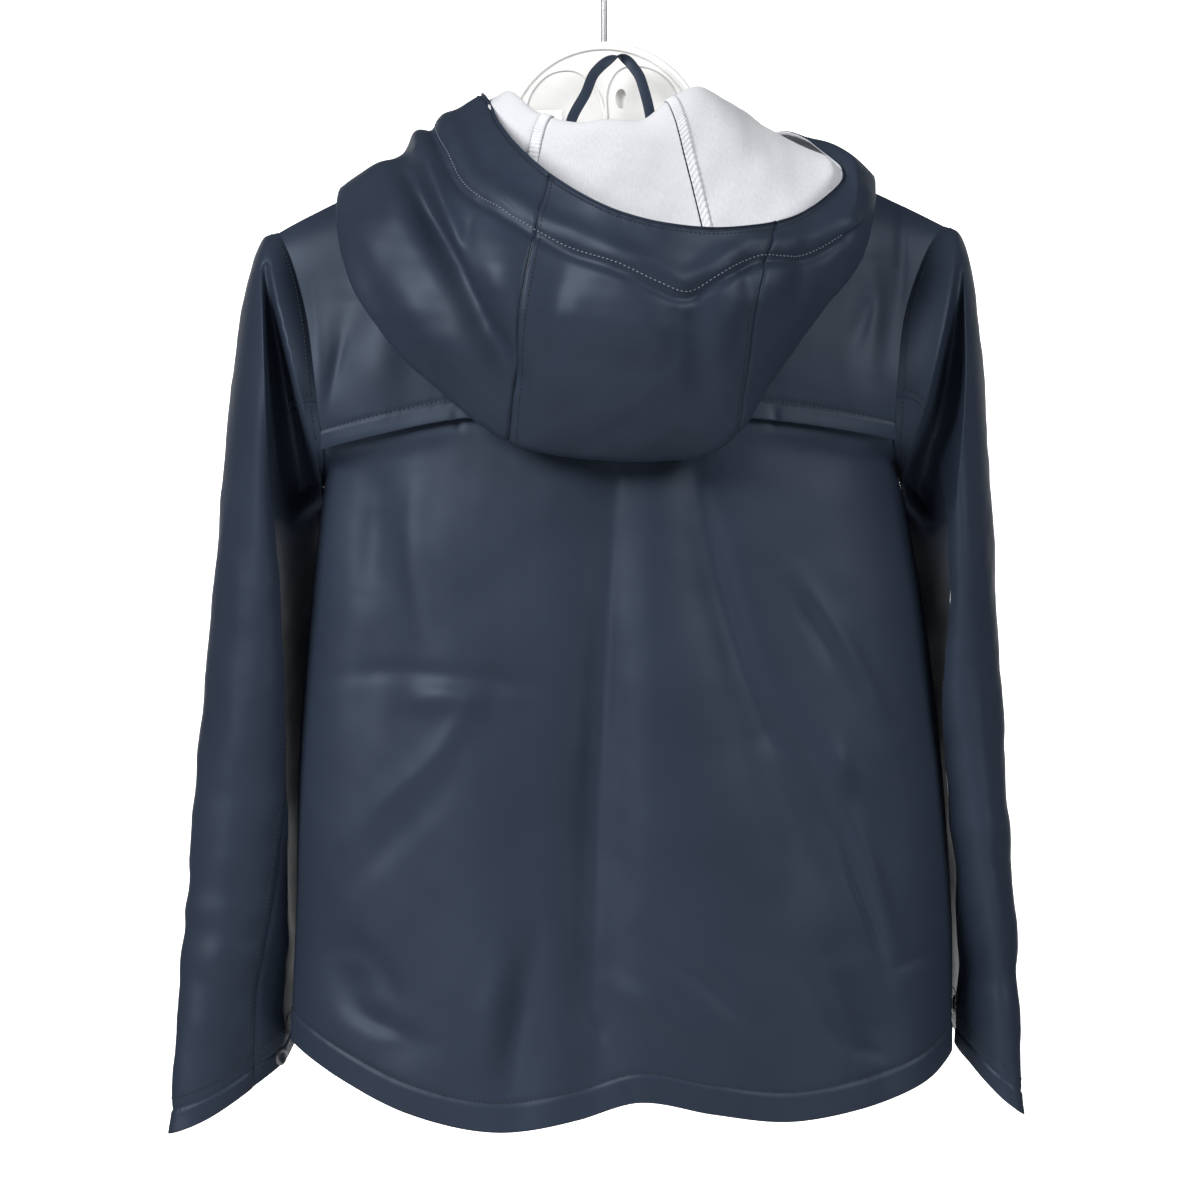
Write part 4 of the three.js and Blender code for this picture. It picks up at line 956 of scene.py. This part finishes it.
def hood_rise(angle, way, points):
    x, z = points[..., 0], points[..., 2]
    outside = hood_outside(points, way)
    folds = fold_depth(HOOD_FOLDS, x, z) + crease_depth(HOOD_CREASES, x, z)
    above, _ = line_distance(soft_line(CASING, 60), *seen(points))
    casing = 2.0 * bell(above - 7, 5.5) - 2.2 * bell(above + 3, 2.8) - 0.5 * bell(above, 1.1)
    casing = casing + puckers(x + z, above, 0.24)
    rim = (way - HOOD_END) * 62.0 + RIM_STITCH
    soft = ripple(points, 36, 0.8, 2.2) + ripple(points, 15, 0.25, 7.7)
    seams = sum(bell((angle - hood_seam(word, way)) * 1.6, 1.1) for word in HOOD_SEAMS)
    edge = sewn(rim, 0.6) * ease(way, 5.6, 5.75) + puckers(x, rim, 0.16)
    return soft + (casing - folds) * outside + edge - 0.5 * seams * ease(way, 1.5, 2.5)


def hood_panels(fineness):
    first, last = HOOD["angle"][0], HOOD["angle"][-1]
    ends = {
        "left": (lambda way: first, lambda way: hood_seam("left", way) - HOOD_SEAM_GAP),
        "centre": (lambda way: hood_seam("left", way) + HOOD_SEAM_GAP,
                   lambda way: hood_seam("right", way) - HOOD_SEAM_GAP),
        "right": (lambda way: hood_seam("right", way) + HOOD_SEAM_GAP, lambda way: last),
    }
    steps = {"left": 0.62, "centre": 0.4, "right": 0.62}
    down = spread(0, HOOD_END, fineness, (5.2, 0.5, 1.0), (HOOD_END, 0.2, 2.0))

    def panel(start, end, share):
        def angle(u, way):
            return start(way) + (end(way) - start(way)) * u
        across = np.linspace(0, 1, int(fineness * share) + 1)
        return Panel(lambda u, way: hood(angle(u, way), way), across, down, 1,
                     lambda u, way, points: hood_rise(angle(u, way), way, points))
    panels = {word: panel(*ends[word], steps[word]) for word in ends}
    # The whole hood as one face by angle and way, for the lines sewn on it
    whole = Panel(hood, np.array([first, last]), np.array([0.0, HOOD_END]), 1, hood_rise)
    return panels, whole


def on_hood(whole, line):
    """The angle and way on the hood's outer side of points given as they are seen."""
    angles, ways = np.meshgrid(np.linspace(-100, 110, 211), np.linspace(4.2, 5.98, 90), indexing="ij")
    x, z = seen(whole.face(angles, ways))
    found = []
    for at_x, at_z in line:
        nearest = np.argmin((x - at_x) ** 2 + (z - at_z) ** 2)
        found.append((angles.flat[nearest], ways.flat[nearest]))
    return np.array(found)


def neck_inside(x):
    """The inner face of the yoke where the loop and the label are sewn in, at the neck's edge."""
    edge = torso(-1, across_at(x, 0.0), 0.0)
    return edge + np.array([0, WALL + SEAM, 0])


# Operators

class CoatSettings(bpy.types.PropertyGroup):
    cloth_colour: FloatVectorProperty(
        name="Cloth colour", description="Colour of the coated side", subtype="COLOR", size=3,
        default=(0.0205, 0.0285, 0.0465), min=0, max=1)
    knit_colour: FloatVectorProperty(
        name="Knit colour", description="Colour of the knit side", subtype="COLOR", size=3,
        default=(0.6, 0.61, 0.64), min=0, max=1)
    swell: FloatProperty(
        name="Swell", description="Height of the soft swell in the large panels, in millimetres",
        default=0.7, min=0, max=5)
    fineness: IntProperty(
        name="Fineness", description="Grid steps across the back", default=220, min=60, max=260)
    stitch_pitch: FloatProperty(
        name="Stitch pitch", description="Length of one stitch, in millimetres", default=2.4, min=1.5, max=6)


def settings():
    return bpy.context.scene.raincoat


class RAINCOAT_OT_materials(bpy.types.Operator):
    """Makes the finishes of cloth, knit, thread, label, studs, hanger and hook"""
    bl_idname = "raincoat.materials"
    bl_label = "Finishes"

    def execute(self, context):
        s = settings()
        coated_cloth(s.cloth_colour)
        knit_side("knit side", s.knit_colour, 900.0)
        knit_side("overlock thread", [c * 1.12 for c in s.knit_colour], 1500.0)
        # The thread is darker than the cloth: its own navy plus painted shade of the stitch holes, so that
        # the sewn lines read as dark dots
        plain_grained("thread", (0.008, 0.011, 0.018), 0.6, 2500.0, 0.4)
        plain_grained("casing thread", (0.16, 0.19, 0.24), 0.5, 2500.0, 0.4)
        plain_grained("label tape", (0.86, 0.86, 0.85), 0.6, 1500.0, 0.3)
        plain_grained("gunmetal", (0.16, 0.16, 0.17), 0.35, 700.0, 0.1, 1.0)
        plain_grained("moulded plastic", (0.88, 0.875, 0.86), 0.35, 60.0, 0.08)
        plain_grained("hook wire", (0.26, 0.26, 0.27), 0.25, 900.0, 0.05, 1.0)
        return {"FINISHED"}


class RAINCOAT_OT_torso(bpy.types.Operator):
    """Makes the back, the yoke and the two fronts, with their topstitching"""
    bl_idname = "raincoat.torso"
    bl_label = "Torso"

    def execute(self, context):
        s = settings()
        panels = torso_panels(s.fineness, s.swell)
        for word, name, nodes, flat, area in (
                ("back", "back_panel", ["back_body"], (0.42, 0.37), 0.14),
                ("yoke", "yoke_panel", ["back_yoke"], (0.4, 0.16), 0.046),
                ("left", "front_panel_left", ["front_left"], (0.24, 0.49), 0.095),
                ("right", "front_panel_right", ["front_right"], (0.24, 0.49), 0.095)):
            finish_cloth(panels[word].build(name, flat), nodes, flat, area)
        edge = np.linspace(-0.985, 0.985, 400)
        lap = np.linspace(-0.985, ACROSS_OVERLAP, 200)
        rest = np.linspace(ACROSS_OVERLAP + 0.01, 0.985, 200)
        levels = np.linspace(0.02, HEM_LEVEL - 0.02, 300)
        stitches("stitches_hem", [
            panels["back"].run(edge, hem_stitch_level(-1, round_across(edge)), 0.08),
            panels["left"].run(lap, hem_stitch_level(1, round_across(lap)), 0.08),
            panels["right"].run(rest, hem_stitch_level(1, round_across(rest)), 0.08)], s.stitch_pitch, THREAD)
        stitches("stitches_yoke", [panels["yoke"].run(edge, YOKE_STITCH, 0.08)], s.stitch_pitch, THREAD)
        stitches("stitches_front", [
            panels["left"].run(ACROSS_OVERLAP - 3 / 250.0, levels, 0.08),
            panels["left"].run(ACROSS_OVERLAP - 33 / 250.0, levels, 0.08)], s.stitch_pitch, THREAD)
        return {"FINISHED"}


class RAINCOAT_OT_sleeves(bpy.types.Operator):
    """Makes the upper and under piece of each sleeve, with their seams and topstitching"""
    bl_idname = "raincoat.sleeves"
    bl_label = "Sleeves"

    def execute(self, context):
        s = settings()
        runs = {"armhole": [], "sleeve": [], "cuff": []}
        for side, word in ((-1, "left"), (1, "right")):
            panels = sleeve_panels(side, s.fineness)
            upper, under = panels["upper"], panels["under"]
            flats = {"upper": ((0.18, 0.47), 0.057), "under": ((0.12, 0.36), 0.029)}
            for piece in ("upper", "under"):
                obj = panels[piece].build("%s_panel_%s" % (piece, word), flats[piece][0], SLEEVE_WALL)
                finish_cloth(obj, ["sleeve_%s_%s" % (piece, word)], *flats[piece])
            share = np.linspace(0.01, 0.99, 120)
            for panel in (upper, under):
                def across(down, panel=panel):
                    return panel.face(share, down)
                head = inset(across, np.zeros_like(share), 1.5, SEAM_STITCH)
                cuff = inset(across, np.full_like(share, SLEEVE_END), 7.5, CUFF_STITCH)
                runs["armhole"].append(panel.run(share, head, 0.1))
                runs["cuff"].append(panel.run(share, cuff, 0.08))
            down = np.linspace(0.15, SLEEVE_END - 0.05, 300)
            for edge, towards in ((1.0, 0.8), (0.0, 0.2)):
                beside = inset(lambda u: upper.face(u, down), np.full_like(down, edge), towards, SEAM_STITCH)
                runs["sleeve"].append(upper.run(beside, down, 0.08))
            self.allowance(side, word)
        for name, lines in runs.items():
            stitches("stitches_" + name, lines, s.stitch_pitch, THREAD)
        return {"FINISHED"}

    def allowance(self, side, word):
        """The turned-in edges of the armhole seam, inside the coat."""
        def face(turn, share):
            edge = armhole(side, np.mod(turn, 6))
            centre = armhole(side, np.array([0.0, 3.0])).mean(0)
            inward = centre - edge
            inward[..., 0] = 0
            inward /= np.linalg.norm(inward, axis=-1, keepdims=True)
            edge = edge + inward * 1.6
            edge[..., 0] += side * (share * 5.0 - 1.0)
            return edge
        band = Panel(face, np.linspace(0, 6, 121), np.linspace(-1, 1, 4), side, no_rise)
        flat = (0.34, 0.01)
        obj = band.build("armhole_allowance_" + word, flat, 0.8, inside="coated cloth")
        finish_cloth(obj, [], flat, 0.0032)


class RAINCOAT_OT_hood(bpy.types.Operator):
    """Makes the three panels of the hood, with seams, casing, rim and overlocked edges"""
    bl_idname = "raincoat.hood"
    bl_label = "Hood"

    def execute(self, context):
        s = settings()
        panels, whole = hood_panels(s.fineness)
        for word, flat, area in (("left", (0.26, 0.36), 0.06), ("centre", (0.13, 0.36), 0.036),
                                 ("right", (0.2, 0.36), 0.042)):
            finish_cloth(panels[word].build("hood_panel_" + word, flat), ["hood_" + word], flat, area)
        angles = np.linspace(-128, 128, 500)
        rim = inset(lambda way: hood(angles, way), np.full_like(angles, HOOD_END), 5.5, RIM_STITCH)
        ways = np.linspace(1.6, 5.96, 220)
        beside = []
        for word, way_in in (("left", 8), ("right", -8)):
            seam = hood_seam(word, ways)
            beside.append(inset(lambda angle: hood(angle, ways), seam, seam + way_in, 3.6))
        runs = [whole.run(angles, rim, 0.1)] + [whole.run(line, ways, 0.08) for line in beside]
        stitches("stitches_hood", runs, s.stitch_pitch, THREAD)
        knots = on_hood(whole, CASING)
        at = np.linspace(knots[0, 0], knots[-1, 0], 300)
        casing = through(knots[:, 0], knots[:, 1], at)
        stitches("stitches_casing", [whole.run(at, casing, 0.25)], s.stitch_pitch, THREAD, "casing thread")
        for word in HOOD_SEAMS:
            self.overlock(whole, word)
        return {"FINISHED"}

    def overlock(self, whole, word):
        """The overlocked edge of a seam, on the knit side."""
        ways = np.linspace(1.2, HOOD_END - 0.03, 60)
        width = 5.7
        seam = hood_seam(word, ways)
        far = inset(lambda angle: hood(angle, ways), seam, seam + 12, width)

        def angle(u, way):
            start = np.interp(way, ways, seam)
            return start + (np.interp(way, ways, far) - start) * u

        def rise(u, way, points):
            loops = 0.2 * np.sin(way * OVERLOCK_LOOPS * 2 * math.pi + u * math.pi)
            return hood_rise(angle(u, way), way, points) - WALL - 0.35 + loops
        along = np.linspace(ways[0], ways[-1], 900)
        band = Panel(lambda u, way: hood(angle(u, way), way), np.linspace(0, 1, 5), along, 1, rise)
        obj = band.build("overlock_" + word, (0.0057, 0.25), 0.5, "overlock thread", "overlock thread")
        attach(obj, "root")


class RAINCOAT_OT_neck(bpy.types.Operator):
    """Makes the hang loop and the blank label at the neck"""
    bl_idname = "raincoat.neck"
    bl_label = "Loop and label"

    def execute(self, context):
        rows = np.array(LOOP_ROWS, float)
        stations = np.arange(len(rows))
        path = neck_inside(rows[:, 0])
        path[:, 1] += rows[:, 2]
        path[:, 2] = rows[:, 1]

        def middle(way):
            return np.stack([through(stations, column, way) for column in path.T], -1)

        def loop_face(u, way):
            along = middle(np.minimum(way + 0.02, stations[-1])) - middle(np.maximum(way - 0.02, 0))
            beside = np.stack([-along[..., 2], np.zeros_like(way), along[..., 0]], -1)
            beside /= np.linalg.norm(beside, axis=-1, keepdims=True)
            twist = math.pi * ease(way, 3.1, 4.9)
            turned = beside * np.cos(twist)[..., None] + np.array([0, 1.0, 0]) * np.sin(twist)[..., None]
            return middle(way) + turned * (u * LOOP_WIDTH)[..., None]

        def loop_rise(u, way, points):
            return 0.25 * bell(np.abs(u) - 0.42, 0.1)
        loop = Panel(loop_face, np.linspace(-0.5, 0.5, 9), np.linspace(0, stations[-1], 161), -1, loop_rise)
        flat = (0.01, 0.155)  # folded lengthwise, so that it is 5.4 mm wide
        finish_cloth(loop.build("loop_strap", flat, 0.9, inside="coated cloth"), ["hang_loop"], flat, 0.00065)

        def label_face(x, z):
            point = neck_inside(x)
            point[..., 2] = z
            point[..., 1] += 0.7 * np.sin((z - LABEL[2]) / 7.0) - 0.5 * ((x - LABEL[0]) / 12.0 - 0.8) ** 2
            return point
        left, right, bottom, top = LABEL
        label = Panel(label_face, np.linspace(left, right, 21), np.linspace(bottom, top, 25), 1, no_rise)
        flat = (0.019, 0.023)
        obj = label.build("label_tape", flat, 0.5, "label tape", "label tape")
        finish_cloth(obj, ["neck_label"], flat, 0.00043, slot="label_tape")
        return {"FINISHED"}


class RAINCOAT_OT_hanger(bpy.types.Operator):
    """Gives the hanger, hook and studs their finishes, and the hanger its raised lines"""
    bl_idname = "raincoat.hanger"
    bl_label = "Hanger"

    def execute(self, context):
        for node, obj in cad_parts.items():
            finish = {"hanger_body": "moulded plastic", "hanger_hook": "hook wire"}.get(node)
            if "stud" in node:
                finish = "gunmetal"
            if finish:
                obj.data.materials.clear()
                obj.data.materials.append(MATERIALS[finish])
        face = -HANGER_THICK / 2
        turns = np.radians(np.linspace(168, 12, 15))
        middle = DOME_TOP - DOME_RADIUS
        dome = [(DOME_LINE * math.cos(t), face, middle + DOME_LINE * math.sin(t)) for t in turns]
        bead("hanger_rim", dome, 0.9, "moulded plastic")
        for word, line in HANGER_LOBES.items():
            points = [(x, face, z) for x, z in line]
            bead("hanger_lobe_" + word, points, 0.8, "moulded plastic")
        return {"FINISHED"}


def sweep(name, profile):
    """A sheet that runs along X with a smooth profile of (y, z) points."""
    def place(x, station):
        ys, zs = zip(*profile)
        return np.stack([x, smooth(ys, station), smooth(zs, station)], -1) / MM
    return grid_object(name, np.array([-BACKDROP_WIDTH / 2, BACKDROP_WIDTH / 2]),
                       np.linspace(0, len(profile) - 1, 25), place, False, (1, 1))


class RAINCOAT_OT_stage(bpy.types.Operator):
    """Makes the floor, the wall, the lights and the camera"""
    bl_idname = "raincoat.stage"
    bl_label = "Stage"

    def execute(self, context):
        scene = context.scene
        scene.view_settings.view_transform = "Standard"
        for name, profile, glow in (("floor", FLOOR_PROFILE, 0.0), ("wall", WALL_PROFILE, WALL_GLOW)):
            _, shader = node_material("pale " + name)
            shader.inputs["Base Color"].default_value = (0.9, 0.9, 0.9, 1)
            shader.inputs["Roughness"].default_value = 0.9
            shader.inputs["Emission Color"].default_value = (1, 1, 1, 1)
            shader.inputs["Emission Strength"].default_value = glow
            sheet = sweep(name, profile)
            sheet.data.materials.append(MATERIALS["pale " + name])

        world = bpy.data.worlds.new("studio")
        world.use_nodes = True
        world.node_tree.nodes["Background"].inputs["Color"].default_value = (1, 1, 1, 1)
        world.node_tree.nodes["Background"].inputs["Strength"].default_value = WORLD_STRENGTH
        scene.world = world

        for name, place, size, power in LIGHTS:
            light = bpy.data.lights.new(name, "AREA")
            light.shape = "DISK"
            light.size = size
            light.energy = power
            obj = bpy.data.objects.new(name, light)
            obj.location = place
            towards = Vector(AIM) - Vector(place)
            obj.rotation_euler = towards.to_track_quat("-Z", "Y").to_euler()
            scene.collection.objects.link(obj)

        camera = bpy.data.cameras.new("camera")
        camera.sensor_width = 36
        camera.lens = camera.sensor_width * CAMERA_AWAY * MM / PICTURE_WIDTH
        eye = bpy.data.objects.new("camera", camera)
        eye.location = (CAMERA_X * MM, -CAMERA_AWAY * MM, CAMERA_Z * MM)
        eye.rotation_euler = (math.pi / 2, 0, 0)
        scene.collection.objects.link(eye)
        scene.camera = eye
        return {"FINISHED"}


class RAINCOAT_PT_panel(bpy.types.Panel):
    bl_label = "Raincoat"
    bl_idname = "RAINCOAT_PT_panel"
    bl_space_type = "VIEW_3D"
    bl_region_type = "UI"
    bl_category = "Raincoat"

    def draw(self, context):
        for key in CoatSettings.__annotations__:
            self.layout.prop(context.scene.raincoat, key)
        for operator in STEPS:
            self.layout.operator(operator.bl_idname)


STEPS = (RAINCOAT_OT_materials, RAINCOAT_OT_torso, RAINCOAT_OT_sleeves, RAINCOAT_OT_hood, RAINCOAT_OT_neck,
         RAINCOAT_OT_hanger, RAINCOAT_OT_stage)
CLASSES = (CoatSettings, *STEPS, RAINCOAT_PT_panel)


def register():
    for item in CLASSES:
        bpy.utils.register_class(item)
    bpy.types.Scene.raincoat = PointerProperty(type=CoatSettings)


def unregister():
    del bpy.types.Scene.raincoat
    for item in reversed(CLASSES):
        bpy.utils.unregister_class(item)


def main():
    register()
    for operator in STEPS:
        group, name = operator.bl_idname.split(".")
        getattr(getattr(bpy.ops, group), name)()


if __name__ == "__main__":
    main()
